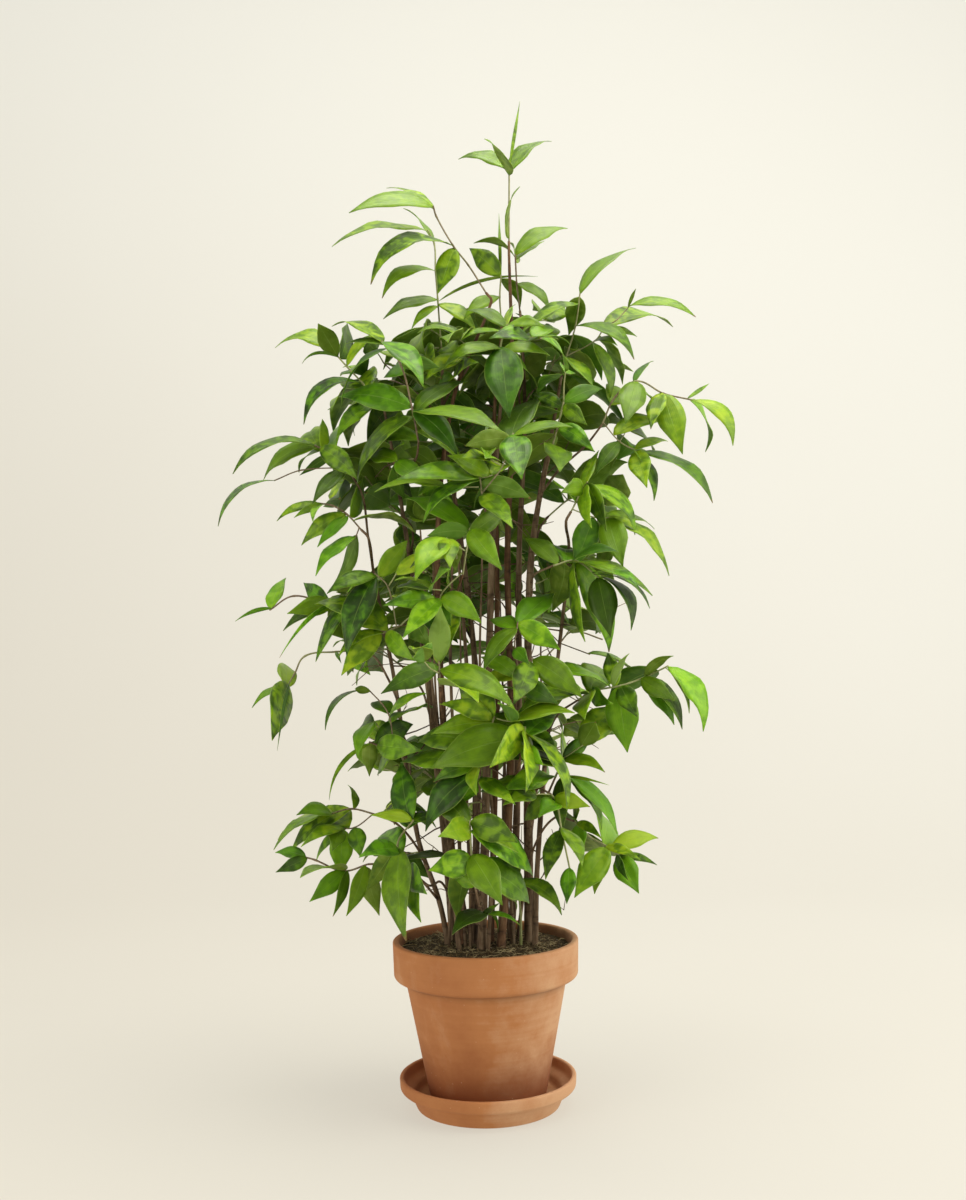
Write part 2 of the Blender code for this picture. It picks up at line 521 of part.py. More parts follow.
def shoot_tubes(spray):
    """(points along, radii) of each shoot of a spray."""
    tubes = []
    first = TWIG_END_RADIUS if spray.fork else CANE_END_RADIUS
    for number, chain in enumerate(spray.shoots):
        way = [spray.knots[i] for i in chain]
        if number and chain[0] == 0:
            way[0] = way[0] + (spray.knots[1] - way[0]).normalized() * BRANCH_RISE
        start = first if number == 0 else BRANCH_RADIUS
        steps = len(way) - 1
        last = min(start, SHOOT_END_RADIUS)
        radii = [start + (last - start) * k / steps for k in range(len(way))]
        way[-1] = way[-1] + (way[-1] - way[-2]).normalized() * SHOOT_BEYOND
        tubes.append((way, radii))
    return tubes


def twig_way(root, along, end, end_way, bulge):
    """A curved twig from a cane's middle to the start of a spray."""
    reach = (end - root).length
    out = (end - root).normalized()
    first = root + (out * TWIG_OUT + along * TWIG_ALONG + bulge) * reach * TWIG_PULL
    second = end - (end_way + bulge * TWIG_END_BULGE).normalized() * reach * TWIG_END_PULL
    way = [curve_point(root, first, second, end, t) for t in TWIG_STATIONS]
    last = len(way) - 1
    radii = [TWIG_ROOT_RADIUS + (TWIG_END_RADIUS - TWIG_ROOT_RADIUS) * k / last for k in range(last + 1)]
    return way, radii


def start_of(places):
    """Where the wood that carries a spray ends, and its direction there."""
    along = (places[1] - places[0]).normalized()
    return places[0] - along * GAP, along


def clear_twig(room, cane, way, radii, fork, places, tubes, rng):
    """A twig from the cane to the spray that crosses nothing, or None."""
    end, end_way = start_of(places)
    shoots = Room()
    for shape in tubes:
        shoots.add("", *shape)
    for attempt in range(TWIG_TRIES):
        lift = rng.uniform(-1, 1) * TWIG_STEP * attempt
        root, along = at_height(way, radii, fork * MM + lift)
        size = TWIG_BULGE * attempt
        bulge = Vector([rng.uniform(-size, size) for _ in range(3)])
        found = twig_way(root, along, end, end_way, bulge)
        if room.crossed(*thick_tube(*found), skip=(cane,)):
            continue
        knots, sizes = found
        short_of = knots[-1] + (knots[-2] - knots[-1]).normalized() * TWIG_END_CLEAR
        if not shoots.crossed(*thick_tube(knots[:-1] + [short_of], sizes)):
            return found
    return None


# Leaves

def hand_leaf(root, x, z, width, bow, shift, turn, slim):
    """A leaf from its root to the point where its tip shows, turned to show this width."""
    under = width < 0
    wide = abs(width) * MM * slim
    x0, z0 = shown(root)
    flat = math.hypot(x - x0, z - z0) * MM
    length = max(flat * TURNED_AWAY, wide * LEAST_LENGTH)
    away = math.sqrt(max(length * length - flat * flat, 0)) / MM
    falling = z < z0
    sign = -1 if falling != under else 1
    tip = seen(x, z, root.y / MM + sign * min(away, MOST_AWAY) + shift)
    reach = tip - root
    small = wide < SMALL_WIDTH and flat < SMALL_LENGTH
    full = min(max(wide, reach.length * (SMALL_FULL if small else LEAF_FULL)), LEAF_WIDEST)
    if wide < ROLLED_WIDTH:
        full = wide
    look = ((root + tip) / 2 - EYE).normalized()
    flat_side = look.cross(reach).normalized()
    deep_side = reach.normalized().cross(flat_side)
    lean = math.acos(min(1.0, wide / full)) + turn
    best = None
    for tilt in (lean, -lean):
        side = flat_side * math.cos(tilt) + deep_side * math.sin(tilt)
        up = side.cross(reach).normalized()
        if up.z < 0:
            side, up = -side, -up
        faces_eye = -up.dot(look) * (-1 if under else 1)
        if best is None or faces_eye > best[0]:
            best = (faces_eye, side, up)
    _, side, up = best
    over = look.cross(reach).normalized()
    over = over if over.z > 0 else -over
    lift = (over * bow * BOW_SHARE + up * LEAF_ARCH) * reach.length
    return Leaf(root, tip, full, side, lift, under)


def back_leaf(root, turn, rise, length, width, arch, roll):
    """A leaf given by the compass turn and rise of its chord, its face leant outwards."""
    reach = Vector((math.cos(turn) * math.cos(rise), math.sin(turn) * math.cos(rise), math.sin(rise)))
    up = UP + Vector((root.x, root.y, 0)).normalized() * FACE_LEAN
    up = (up - reach * up.dot(reach)).normalized()
    side = reach.cross(up)
    side = side * math.cos(roll) + up * math.sin(roll)
    up = side.cross(reach).normalized()
    return Leaf(root, root + reach * length, width, side, up * arch * length, False)


def leaf_crossed(room, leaf, name, own):
    """What a leaf would cross; with own set, also the leaves and shoots of its own spray."""
    found = room.crossed(*blade(leaf, CLEAR), skip=(name, name + " leaves"))
    if found or not own:
        return found
    return room.crossed(*blade(leaf, 0, LEAF_NECK))


def in_view(leaf):
    """Whether a back leaf keeps inside the plant's outline and out of its gaps."""
    for s in (0.25, 0.5, 0.75, 1.0):
        point, side, _ = blade_frame(leaf, s)
        half = leaf.width / 2 * blade_share(s) if s < 1 else 0
        for k in (-1, 1):
            x, z = shown(point + side * half * k)
            if not inside_outline(x, z) or in_window(x, z):
                return False
    return True


def inside_outline(x, z):
    """Whether the plant's outline holds a point of the seen plane."""
    for (low, left, right), (high, left2, right2) in zip(OUTLINE, OUTLINE[1:]):
        if low <= z <= high:
            share = (z - low) / (high - low)
            return left + (left2 - left) * share < x < right + (right2 - right) * share
    return False


def in_window(x, z):
    """Whether a point of the seen plane is in one of the plant's gaps."""
    return any(x0 < x < x1 and z0 < z < z1 for x0, z0, x1, z1 in WINDOWS)


def step_aside(attempt, step):
    """0, then one step to each side, then two steps, and so on."""
    return (attempt + 1) // 2 * step * (1 if attempt % 2 else -1)


def place_hand_leaf(room, root, row, name, rng):
    """The first of several close variants of a leaf that crosses nothing, or None."""
    _, x, z, width, bow = row
    for own in (True, False):
        for attempt in range(LEAF_TRIES):
            shift = step_aside(attempt, TRY_DEPTH)
            turn = rng.uniform(-TRY_TURN, TRY_TURN) * attempt
            wander = TRY_WANDER * max(0, attempt - TRY_WANDER_FROM)
            dx, dz = rng.uniform(-wander, wander), rng.uniform(-wander, wander)
            slim = 1 - TRY_SLIM * attempt
            leaf = hand_leaf(root, x + dx, z + dz, width, bow, shift, turn, slim)
            if not leaf_crossed(room, leaf, name, own):
                return leaf
    return None


def place_back_leaf(room, root, turn, name, rng):
    """A leaf drawn by rule near this compass turn that crosses nothing, or None."""
    for attempt in range(BACK_TRIES):
        length = rng.uniform(*BACK_LENGTH) * MM
        width = length * rng.uniform(*BACK_WIDTH)
        aside = rng.uniform(-BACK_TURN, BACK_TURN) * (1 + attempt * BACK_TURN_MORE)
        rise = math.radians(rng.uniform(*BACK_RISE))
        arch = rng.uniform(*BACK_ARCH)
        roll = rng.uniform(-BACK_ROLL, BACK_ROLL)
        leaf = back_leaf(root, turn + aside, rise, length, width, arch, roll)
        if in_view(leaf) and not leaf_crossed(room, leaf, name, True):
            return leaf
    return None


# The whole layout

def lay_out_canes(room):
    """Each cane's way and radii, ending under its own top spray."""
    canes = {}
    for row in SPRAYS:
        if row[2] == 0:
            places, _ = spray_knots(row, 0)
            top, top_way = start_of(places)
            canes[row[1]] = cane_way(row[1], top, top_way)
    for index, (way, radii) in canes.items():
        room.add(CANES[index][0], *thick_tube(way, radii))
    return canes


def lay_out_spray(room, canes, twigs, row, places_of, tries, rng):
    """A spray's shoots and its twig in the first place of those tried that crosses nothing."""
    name, index, fork = row[:3]
    cane = CANES[index][0]
    way, radii = canes[index]
    for attempt in range(tries):
        places, parents = places_of(row, attempt, rng)
        spray = Spray(name, index, fork, places, parents, shoot_chains(parents), [])
        tubes = [thick_tube(*found) for found in shoot_tubes(spray)]
        if fork:
            if any(room.crossed(*shape) for shape in tubes):
                continue
            twig = clear_twig(room, cane, way, radii, fork, places, tubes, rng)
            if twig is None:
                continue
            twigs[index].append((*twig, start_of(places)[1]))
            room.add(cane + " twig", *thick_tube(*twig))
        for shape in tubes:
            room.add(name, *shape)
        return spray
    raise ValueError(name + " finds no room")


def front_places(row, attempt, rng):
    """The knots of a front spray, a little nearer or farther with each attempt."""
    return spray_knots(row, step_aside(attempt, SPRAY_STEP) if row[2] else 0)


def back_places(row, attempt, rng):
    """The knots of a back spray, turned a little more with each attempt."""
    _, _, _, turn, reach, height = row
    angle = math.radians(turn + rng.uniform(-SPRAY_TURN, SPRAY_TURN) * attempt)
    out = Vector((math.cos(angle), math.sin(angle), 0))
    across = Vector((-out.y, out.x, 0))
    places = [
        (out * (reach + knot[0]) + across * knot[1] + UP * (height + knot[2])) * MM for knot in BACK_KNOTS
    ]
    return places, [knot[3] for knot in BACK_KNOTS]


def soil_shoot(room):
    """The thin green shoot that comes out of the soil, without leaves yet."""
    foot, *above = [Vector(knot) * MM for knot in SHOOT_KNOTS]
    places = [foot - UP * CANE_DEPTH, foot, foot + UP * CANE_STRAIGHT] + above
    parents = list(range(-1, len(places) - 1))
    spray = Spray("soil_shoot", None, 0, places, parents, shoot_chains(parents), [])
    room.add(spray.name, *thick_tube(places, SHOOT_RADII))
    return spray


def whorl_root(spray, knot, at_knot):
    """Where the next leaf of a knot's whorl grows, each a little below the one before it."""
    count = at_knot.get(knot, 0)
    at_knot[knot] = count + 1
    here = spray.knots[knot]
    if spray.parents[knot] < 0:
        return here + (spray.knots[1] - here).normalized() * WHORL_STEP * (count + 1)
    back = (spray.knots[spray.parents[knot]] - here).normalized()
    return here + back * WHORL_STEP * count


def add_leaf(room, spray, leaf):
    """Gives a spray a leaf, where one was found."""
    if leaf:
        spray.leaves.append(leaf)
        room.add(spray.name + " leaves", *blade(leaf, CLEAR))


def grow_leaves(room, spray, rows, rng):
    """Places the leaves of a front spray, each at its knot."""
    at_knot = {}
    for row in rows:
        root = whorl_root(spray, row[0], at_knot)
        add_leaf(room, spray, place_hand_leaf(room, root, row, spray.name, rng))


def grow_back_leaves(room, spray, rng):
    """Places the leaves of a back spray, in whorls."""
    at_knot = {}
    for i in range(1, len(spray.knots)):
        first = rng.uniform(0, math.tau)
        count = BACK_WHORL if i < BRANCH_FROM else BRANCH_WHORL
        for k in range(count):
            root = whorl_root(spray, i, at_knot)
            turn = first + math.tau * k / count
            add_leaf(room, spray, place_back_leaf(room, root, turn, spray.name, rng))


def grow_fill_leaves(room, spray, below, rng):
    """Adds the leaves behind those that show in front, some steps below each knot of a front spray."""
    at_knot = {i: below for i in range(len(spray.knots))}
    for i in range(len(spray.knots)):
        first = rng.uniform(0, math.pi)
        for k in range(FILL_WHORL):
            root = whorl_root(spray, i, at_knot)
            turn = (first + math.pi * k / FILL_WHORL) % math.pi
            add_leaf(room, spray, place_back_leaf(room, root, turn, spray.name, rng))


def keep_off_pot(room):
    """The saucer, the pot's outside and the soil as plain shapes that leaves keep clear of."""
    off = 3 * MM
    wide = POT_RADIUS + off
    heights = (0.0, SAUCER_HEIGHT + off, POT_TOP - POT_SHOULDER, POT_TOP - POT_BAND, POT_TOP + off)
    way = [UP * z for z in heights]
    points, faces = tube(way, [wide - off, wide - off, wide, wide, wide], ROUND_STEPS)
    room.add("pot", points, faces[:-1])
    level = POT_TOP - SOIL_DROP + off
    corners = [Vector((x, y, level)) for x, y in ((-wide, -wide), (wide, -wide), (wide, wide), (-wide, wide))]
    room.add("soil", corners, [(0, 1, 2, 3)])


def lay_out():
    """The canes, their twigs and all sprays with their leaves."""
    rng = random.Random(SEED)
    room = Room()
    canes = lay_out_canes(room)
    twigs = {index: [] for index in canes}
    sprays = {}
    shoot = soil_shoot(room)
    for row in sorted(SPRAYS, key=lambda row: row[2] > 0):
        sprays[row[0]] = lay_out_spray(room, canes, twigs, row, front_places, SPRAY_TRIES, rng)
    for row in BACK_SPRAYS:
        sprays[row[0]] = lay_out_spray(room, canes, twigs, row, back_places, SPRAY_TRIES, rng)
    keep_off_pot(room)
    for row in SPRAYS:
        grow_leaves(room, sprays[row[0]], row[5], rng)
    for row in SPRAYS:
        if row[0].split("_")[0] not in UNFILLED_SPRAYS:
            grow_fill_leaves(room, sprays[row[0]], FILL_FROM, rng)
    last = len(shoot.knots) - 1
    grow_leaves(room, shoot, [(last,) + leaf for leaf in SHOOT_LEAVES], rng)
    for row in BACK_SPRAYS:
        grow_back_leaves(room, sprays[row[0]], rng)
    for name in DENSE_SPRAYS:
        grow_fill_leaves(room, sprays[name], FILL_FROM + 1, rng)
    return canes, twigs, [*sprays.values(), shoot]


# Objects

def clear_scene():
    """Removes everything that Blender starts with."""
    for obj in list(bpy.data.objects):
        bpy.data.objects.remove(obj, do_unlink=True)


def material(name, colour, roughness, metallic=0.0):
    """A plain material."""
    made = bpy.data.materials.new(name)
    made.use_nodes = True
    shader = made.node_tree.nodes["Principled BSDF"]
    shader.inputs["Base Color"].default_value = (*colour, 1)
    shader.inputs["Roughness"].default_value = roughness
    shader.inputs["Metallic"].default_value = metallic
    return made


def new_object(name, points, faces, look=None, collection=None):
    """An object from lists of points and faces."""
    mesh = bpy.data.meshes.new(name)
    mesh.from_pydata([tuple(point) for point in points], [], faces)
    mesh.validate()
    obj = bpy.data.objects.new(name, mesh)
    (collection or bpy.context.scene.collection).objects.link(obj)
    if look:
        mesh.materials.append(look)
    return obj


def apply_modifiers(obj):
    """Makes an object's modified shape its own."""
    graph = bpy.context.evaluated_depsgraph_get()
    made = bpy.data.meshes.new_from_object(obj.evaluated_get(graph))
    obj.modifiers.clear()
    obj.data = made


def combine(obj, shapes, operation):
    """One Boolean of an object with a collection of closed shapes, applied."""
    helpers = bpy.data.collections.new(obj.name + "_helpers")
    bpy.context.scene.collection.children.link(helpers)
    for points, faces in shapes:
        new_object("helper", points, faces, collection=helpers)
    boolean = obj.modifiers.new("combine", "BOOLEAN")
    boolean.operation = operation
    boolean.operand_type = "COLLECTION"
    boolean.collection = helpers
    boolean.solver = "MANIFOLD"
    bpy.context.view_layer.update()
    apply_modifiers(obj)
    for helper in list(helpers.objects):
        bpy.data.objects.remove(helper, do_unlink=True)
    bpy.data.collections.remove(helpers)


def fuse(obj, shapes):
    """Joins closed shapes into an object, with one outer surface and no very short edges."""
    if shapes:
        combine(obj, shapes, "UNION")
        keep_largest(obj)
        close_short_edges(obj)


def island_of(start):
    """All vertices that edges join to this one."""
    island = {start}
    front = [start]
    while front:
        for edge in front.pop().link_edges:
            for vert in edge.verts:
                if vert not in island:
                    island.add(vert)
                    front.append(vert)
    return island


def keep_largest(obj):
    """Keeps the outer surface of a fused mesh: a hollow that the fusing sealed is filled."""
    shape = bmesh.new()
    shape.from_mesh(obj.data)
    left = set(shape.verts)
    islands = []
    while left:
        islands.append(island_of(next(iter(left))))
        left -= islands[-1]
    islands.sort(key=len)
    scrap = [vert for island in islands[:-1] for vert in island]
    bmesh.ops.delete(shape, geom=scrap, context="VERTS")
    shape.to_mesh(obj.data)
    shape.free()


def short_edge_merges(shape):
    """Pairs of vertices to merge: the ends of short edges that leave the surface closed."""
    short = sorted(
        (edge for edge in shape.edges if edge.calc_length() < SHORT_EDGE),
        key=lambda edge: (edge.calc_length(), edge.index),
    )
    touched = set()
    merges = {}
    for edge in short:
        a, b = edge.verts
        near_a = {other.other_vert(a) for other in a.link_edges}
        near_b = {other.other_vert(b) for other in b.link_edges}
        if len(near_a & near_b) == 2 and not touched & (near_a | near_b | {a, b}):
            touched |= near_a | near_b
            merges[b] = a
    return merges


def close_short_edges(obj):
    """Draws together the very short edges that a union leaves, where the surface stays closed."""
    shape = bmesh.new()
    shape.from_mesh(obj.data)
    bmesh.ops.triangulate(shape, faces=shape.faces)
    for _ in range(CLEAN_ROUNDS):
        merges = short_edge_merges(shape)
        if not merges:
            break
        bmesh.ops.weld_verts(shape, targetmap=merges)
        shape.verts.index_update()
        shape.edges.index_update()
    if all(len(edge.link_faces) == 2 for edge in shape.edges):
        shape.to_mesh(obj.data)
    shape.free()


def turned(name, profile, look):
    """A solid of revolution round Z, from (radius, height) points that go down its outer side."""
    mesh = bpy.data.meshes.new(name)
    points = [(radius, 0, height) for radius, height in profile]
    edges = [(i, (i + 1) % len(points)) for i in range(len(points))]
    mesh.from_pydata(points, edges, [])
    obj = bpy.data.objects.new(name, mesh)
    bpy.context.scene.collection.objects.link(obj)
    screw = obj.modifiers.new("turn", "SCREW")
    screw.axis = "Z"
    screw.angle = math.tau
    screw.steps = ROUND_STEPS
    screw.render_steps = ROUND_STEPS
    screw.use_smooth_shade = True
    screw.use_merge_vertices = True
    screw.merge_threshold = 0.0001
    mesh.materials.append(look)
    return obj


def make_saucer(look):
    """The clay saucer, with a band round its rim and a foot under it."""
    neck = SAUCER_HEIGHT - SAUCER_BAND
    curve = SAUCER_LIP
    profile = (
        (SAUCER_INNER_RADIUS + curve, SAUCER_HEIGHT),
        (SAUCER_RADIUS - curve, SAUCER_HEIGHT),
        (SAUCER_RADIUS, SAUCER_HEIGHT - curve),
        (SAUCER_RADIUS, neck + SAUCER_BAND_CURVE),
        (SAUCER_RADIUS - SAUCER_BAND_IN, neck + curve),
        (SAUCER_NECK_RADIUS, neck - curve),
        (SAUCER_FOOT_RADIUS + curve, curve),
        (SAUCER_FOOT_RADIUS, 0),
        (0, 0),
        (0, SAUCER_FLOOR),
        (SAUCER_WELL_RADIUS - SAUCER_BAND_CURVE, SAUCER_FLOOR),
        (SAUCER_WELL_RADIUS, SAUCER_FLOOR + curve),
        (SAUCER_WELL_RADIUS + SAUCER_BAND_IN, neck),
        (SAUCER_INNER_RADIUS - curve, neck + SAUCER_BAND_CURVE),
        (SAUCER_INNER_RADIUS, SAUCER_HEIGHT - curve),
    )
    return turned("saucer", profile, look)


def pot_inner_radius(height):
    """The radius of the pot's inside wall at a height."""
    shoulder = POT_TOP - POT_SHOULDER
    if height >= shoulder:
        share = (height - shoulder) / POT_SHOULDER
        low = POT_SHOULDER_RADIUS - POT_WALL
        return low + (POT_RADIUS - POT_WALL - low) * share
    share = (height - POT_BASE) / (shoulder - POT_BASE)
    return POT_FOOT_RADIUS + (POT_SHOULDER_RADIUS - POT_FOOT_RADIUS) * share - POT_WALL


def make_pot(look):
    """The clay pot, with a band round its rim and a hole in its floor."""
    shoulder = POT_TOP - POT_SHOULDER
    band = POT_TOP - POT_BAND
    floor = POT_BASE + POT_FLOOR
    profile = (
        (POT_RADIUS - POT_WALL + POT_LIP, POT_TOP),
        (POT_RADIUS - POT_LIP, POT_TOP),
        (POT_RADIUS, POT_TOP - POT_LIP),
        (POT_RADIUS - POT_BAND_DRAFT, band),
        (POT_RADIUS - POT_BAND_CURVE, band - POT_BAND_CURVE),
        (POT_SHOULDER_RADIUS, shoulder),
        (POT_FOOT_RADIUS, POT_BASE + POT_FOOT_CURVE),
        (POT_FOOT_RADIUS - POT_FOOT_CURVE, POT_BASE),
        (POT_HOLE_RADIUS, POT_BASE),
        (POT_HOLE_RADIUS, floor),
        (pot_inner_radius(floor) - POT_FLOOR_CURVE, floor),
        (pot_inner_radius(floor + POT_FLOOR_CURVE), floor + POT_FLOOR_CURVE),
        (pot_inner_radius(shoulder), shoulder),
        (POT_RADIUS - POT_WALL, POT_TOP - POT_LIP),
    )
    return turned("pot", profile, look)


def make_soil(look):
    """The soil that fills the pot, with a plain hole for each cane and for the green shoot."""
    top = POT_TOP - SOIL_DROP
    shoulder = POT_TOP - POT_SHOULDER
    floor = POT_BASE + POT_FLOOR + GAP
    low = floor + POT_FLOOR_CURVE
    profile = (
        (0, top),
        (SOIL_FLAT_RADIUS, top - SOIL_DISH / 2),
        (pot_inner_radius(top) - SOIL_SLACK, top - SOIL_DISH),
        (pot_inner_radius(shoulder) - SOIL_SLACK, shoulder),
        (pot_inner_radius(low) - SOIL_SLACK, low),
        (pot_inner_radius(floor) - POT_FLOOR_CURVE - SOIL_SLACK, floor),
        (0, floor),
    )
    soil = turned("soil", profile, look)
    apply_modifiers(soil)
    feet = [(Vector(knots[0]) * MM, radius * MM) for _, radius, knots in CANES]
    feet.append((Vector(SHOOT_KNOTS[0]) * MM, SHOOT_RADII[0]))
    holes = []
    for foot, radius in feet:
        wide = (radius + GAP) / math.cos(math.pi / HOLE_SIDES)
        way = [foot - UP * (CANE_DEPTH + GAP), foot + UP * HOLE_RISE]
        holes.append(tube(way, [wide, wide], HOLE_SIDES))
    combine(soil, holes, "DIFFERENCE")
    return soil


def eased(line, sizes, end):
    """A twig that turns sharply into its spray gets one more knot just before its end."""
    if (line[-1] - line[-2]).normalized().dot(end) > TWIG_SHARP:
        return line, sizes
    return line[:-1] + [line[-1] - end * TWIG_EASE, line[-1]], sizes + sizes[-1:]


def make_cane(index, way, radii, twigs, look):
    """A woody cane with the twigs that fork from it."""
    end_way = (way[-1] - way[-2]).normalized()
    cane = new_object(CANES[index][0], *tube(way, radii, CANE_SIDES, end_way, UP), look)
    fuse(cane, [tube(*eased(line, sizes, end), TWIG_SIDES, end_way=end) for line, sizes, end in twigs])
    cane.data.shade_smooth()
    return cane


def make_spray(spray, look):
    """A spray's green shoots and leaves as one piece."""
    in_soil = spray.cane is None
    tubes = [(spray.knots, SHOOT_RADII)] if in_soil else shoot_tubes(spray)
    sides = SOIL_SHOOT_SIDES if in_soil else SHOOT_SIDES
    way, radii = tubes[0]
    start_way = (way[1] - way[0]).normalized()
    obj = new_object("spray_" + spray.name, *tube(way, radii, sides, start_way=start_way), look)
    shapes = [tube(*more, SHOOT_SIDES) for more in tubes[1:]]
    fuse(obj, shapes + [blade(leaf) for leaf in spray.leaves])
    return obj


def main():
    """Builds the whole object."""
    clear_scene()
    clay = material("clay", (0.42, 0.16, 0.06), 0.85)
    earth = material("soil", (0.035, 0.022, 0.010), 0.95)
    bark = material("bark", (0.12, 0.07, 0.035), 0.85)
    green = material("leaf", (0.09, 0.22, 0.02), 0.45)
    make_saucer(clay)
    make_pot(clay)
    make_soil(earth)
    canes, twigs, sprays = lay_out()
    for index in sorted(canes):
        make_cane(index, *canes[index], twigs[index], bark)
    for spray in sprays:
        make_spray(spray, green)


main()
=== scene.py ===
"""A gold dust dracaena in a clay pot on its saucer, dressed on the frame of its CAD model."""
import math
import random
from collections import namedtuple

import bmesh
import bpy
from mathutils import Matrix, Vector, noise
from mathutils.bvhtree import BVHTree


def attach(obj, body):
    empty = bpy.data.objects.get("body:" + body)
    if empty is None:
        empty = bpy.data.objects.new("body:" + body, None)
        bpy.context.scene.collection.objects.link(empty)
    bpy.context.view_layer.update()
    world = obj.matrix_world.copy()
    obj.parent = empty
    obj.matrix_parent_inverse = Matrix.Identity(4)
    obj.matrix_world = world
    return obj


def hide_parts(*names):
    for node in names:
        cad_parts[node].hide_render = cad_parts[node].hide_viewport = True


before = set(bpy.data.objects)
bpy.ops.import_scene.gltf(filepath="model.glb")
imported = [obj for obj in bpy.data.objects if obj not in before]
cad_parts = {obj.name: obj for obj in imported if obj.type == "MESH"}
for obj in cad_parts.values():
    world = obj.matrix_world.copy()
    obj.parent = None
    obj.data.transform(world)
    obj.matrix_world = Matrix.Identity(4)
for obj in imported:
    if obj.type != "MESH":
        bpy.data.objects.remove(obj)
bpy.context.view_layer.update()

bl_info = {
    "name": "Potted gold dust dracaena",
    "version": (1, 0, 0),
    "blender": (4, 5, 0),
    "location": "View3D > Sidebar > Dracaena",
    "description": "Builds the clay pot, soil, canes and leafy sprays of a potted dracaena",
    "category": "Object",
}

BODY = "root"

MM = 0.001
SEED = 20
GAP = 0.3 * MM
ROUND_STEPS = 28
UP = Vector((0, 0, 1))

# Clay saucer
SAUCER_RADIUS = 99.5 * MM
SAUCER_INNER_RADIUS = 94.4 * MM
SAUCER_HEIGHT = 34 * MM
SAUCER_NECK_RADIUS = 88 * MM
SAUCER_FOOT_RADIUS = 80 * MM
SAUCER_WELL_RADIUS = 80 * MM
SAUCER_FLOOR = 10 * MM

# Clay pot
POT_BASE = SAUCER_FLOOR + GAP
POT_TOP = 185 * MM
POT_RADIUS = 105 * MM
POT_WALL = 6.5 * MM
POT_BAND = 37 * MM
POT_SHOULDER = 46 * MM
POT_SHOULDER_RADIUS = 90.5 * MM
POT_FOOT_RADIUS = 65 * MM
POT_FLOOR = 8 * MM
POT_FLOOR_CURVE = 3 * MM
POT_HOLE_RADIUS = 12 * MM

# Soil
SOIL_DROP = 8 * MM
SOIL_DISH = 2 * MM
SOIL_SLACK = 0.9 * MM
CANE_DEPTH = 25 * MM

# Woody canes: (name, foot radius, knots) in millimetres, from the soil up; above its last knot a
# cane goes on to the foot of its own top spray
CANE_SIDES = 6
CANE_END_RADIUS = 1.5 * MM
CANE_STRAIGHT = 12 * MM
CANE_SLIM = 0.22
CANE_SLIM_TO = 0.6
CANES = (
    ("cane_left_back", 4.2, ((-38, 28, 172), (-46, 30, 300), (-62, 25, 480), (-85, 15, 660))),
    ("cane_left_front", 4.3, ((-27, 4, 172), (-35, 6, 260), (-44, 5, 440), (-46, 0, 640), (-25, -5, 800))),
    ("cane_back", 4.3, ((-14, 34, 172), (-10, 45, 260), (-4, 55, 450), (-20, 55, 640), (-38, 40, 780))),
    ("cane_front", 5.2, ((-4, -24, 172), (-1, -22, 240), (8, -14, 440), (16, -6, 620), (28, -4, 780))),
    ("cane_leader", 4.5, ((18, -18, 172), (24, -10, 240), (34, -2, 440), (34, 8, 620), (44, 10, 800))),
    ("cane_right_back", 4.3, ((30, 24, 172), (36, 32, 260), (44, 34, 440), (48, 30, 620), (58, 24, 780))),
    ("cane_right", 5.5, ((50, 14, 172), (51, 16, 260), (54, 16, 440), (62, 14, 620), (92, 10, 780))),
    ("cane_middle", 3.9, ((6, 12, 172), (10, 20, 260), (18, 30, 440), (22, 34, 620), (22, 30, 780))),
    ("cane_left_thin", 3.1, ((-44, 8, 172), (-52, 10, 225), (-76, 16, 300), (-98, 12, 470), (-120, 0, 600))),
    ("cane_right_thin", 3.3, ((56, -6, 172), (60, -4, 260), (74, 0, 400), (92, 0, 520), (104, -4, 620))),
)

# Twigs and green shoots
TWIG_ROOT_RADIUS = 2.1 * MM
TWIG_END_RADIUS = 1.6 * MM
TWIG_STATIONS = (0.0, 0.3, 0.68, 1.0)
TWIG_OUT = 0.7
TWIG_ALONG = 0.55
TWIG_PULL = 0.36
TWIG_END_PULL = 0.3
TWIG_END_BULGE = 0.4
TWIG_END_CLEAR = 5 * MM
TWIG_TRIES = 60
TWIG_STEP = 0.6 * MM
TWIG_BULGE = 0.02
SHOOT_END_RADIUS = 1.45 * MM
SHOOT_BEYOND = 1.5 * MM
BRANCH_RADIUS = 1.1 * MM
BRANCH_RISE = 3 * MM
KNOT_SWAY = 6
KNOT_SWAY_TURN = 2.4
SPRAY_TRIES = 60
SPRAY_STEP = 4
SPRAY_TURN = 0.5

# Leaves: how each is cut, and how one is turned and tried until it crosses nothing
LEAF_THICKNESS = 1.5 * MM
LEAF_ROOT_HALF = 0.5 * MM
LEAF_ROOT_THICKNESS = 0.6 * MM
LEAF_ARCH = 0.05
BOW_SHARE = 0.55
LEAF_WIDEST = 44 * MM
LEAF_SHAPE = 0.8
LEAF_DRAWN_FROM = 0.55
LEAF_DRAWN_BY = 0.5
LONG_LEAF = 118 * MM
BENT_LEAF = 0.19
LONG_STATIONS = (0.17, 0.42, 0.74)
SHORT_STATIONS = (0.24, 0.63)
SHORT_FULLER = 1.12
LEAF_NECK = 0.045
WHORL_STEP = 2.6 * MM
CLEAR = 0.6 * MM
TURNED_AWAY = 1.06
LEAST_LENGTH = 2.3
MOST_AWAY = 55
LEAF_FULL = 0.34
SMALL_FULL = 0.22
ROLLED_WIDTH = 5 * MM
SMALL_WIDTH = 11 * MM
SMALL_LENGTH = 62 * MM
LEAF_TRIES = 26
TRY_DEPTH = 7
TRY_TURN = 0.02
TRY_WANDER = 0.35
TRY_WANDER_FROM = 6
TRY_SLIM = 0.012

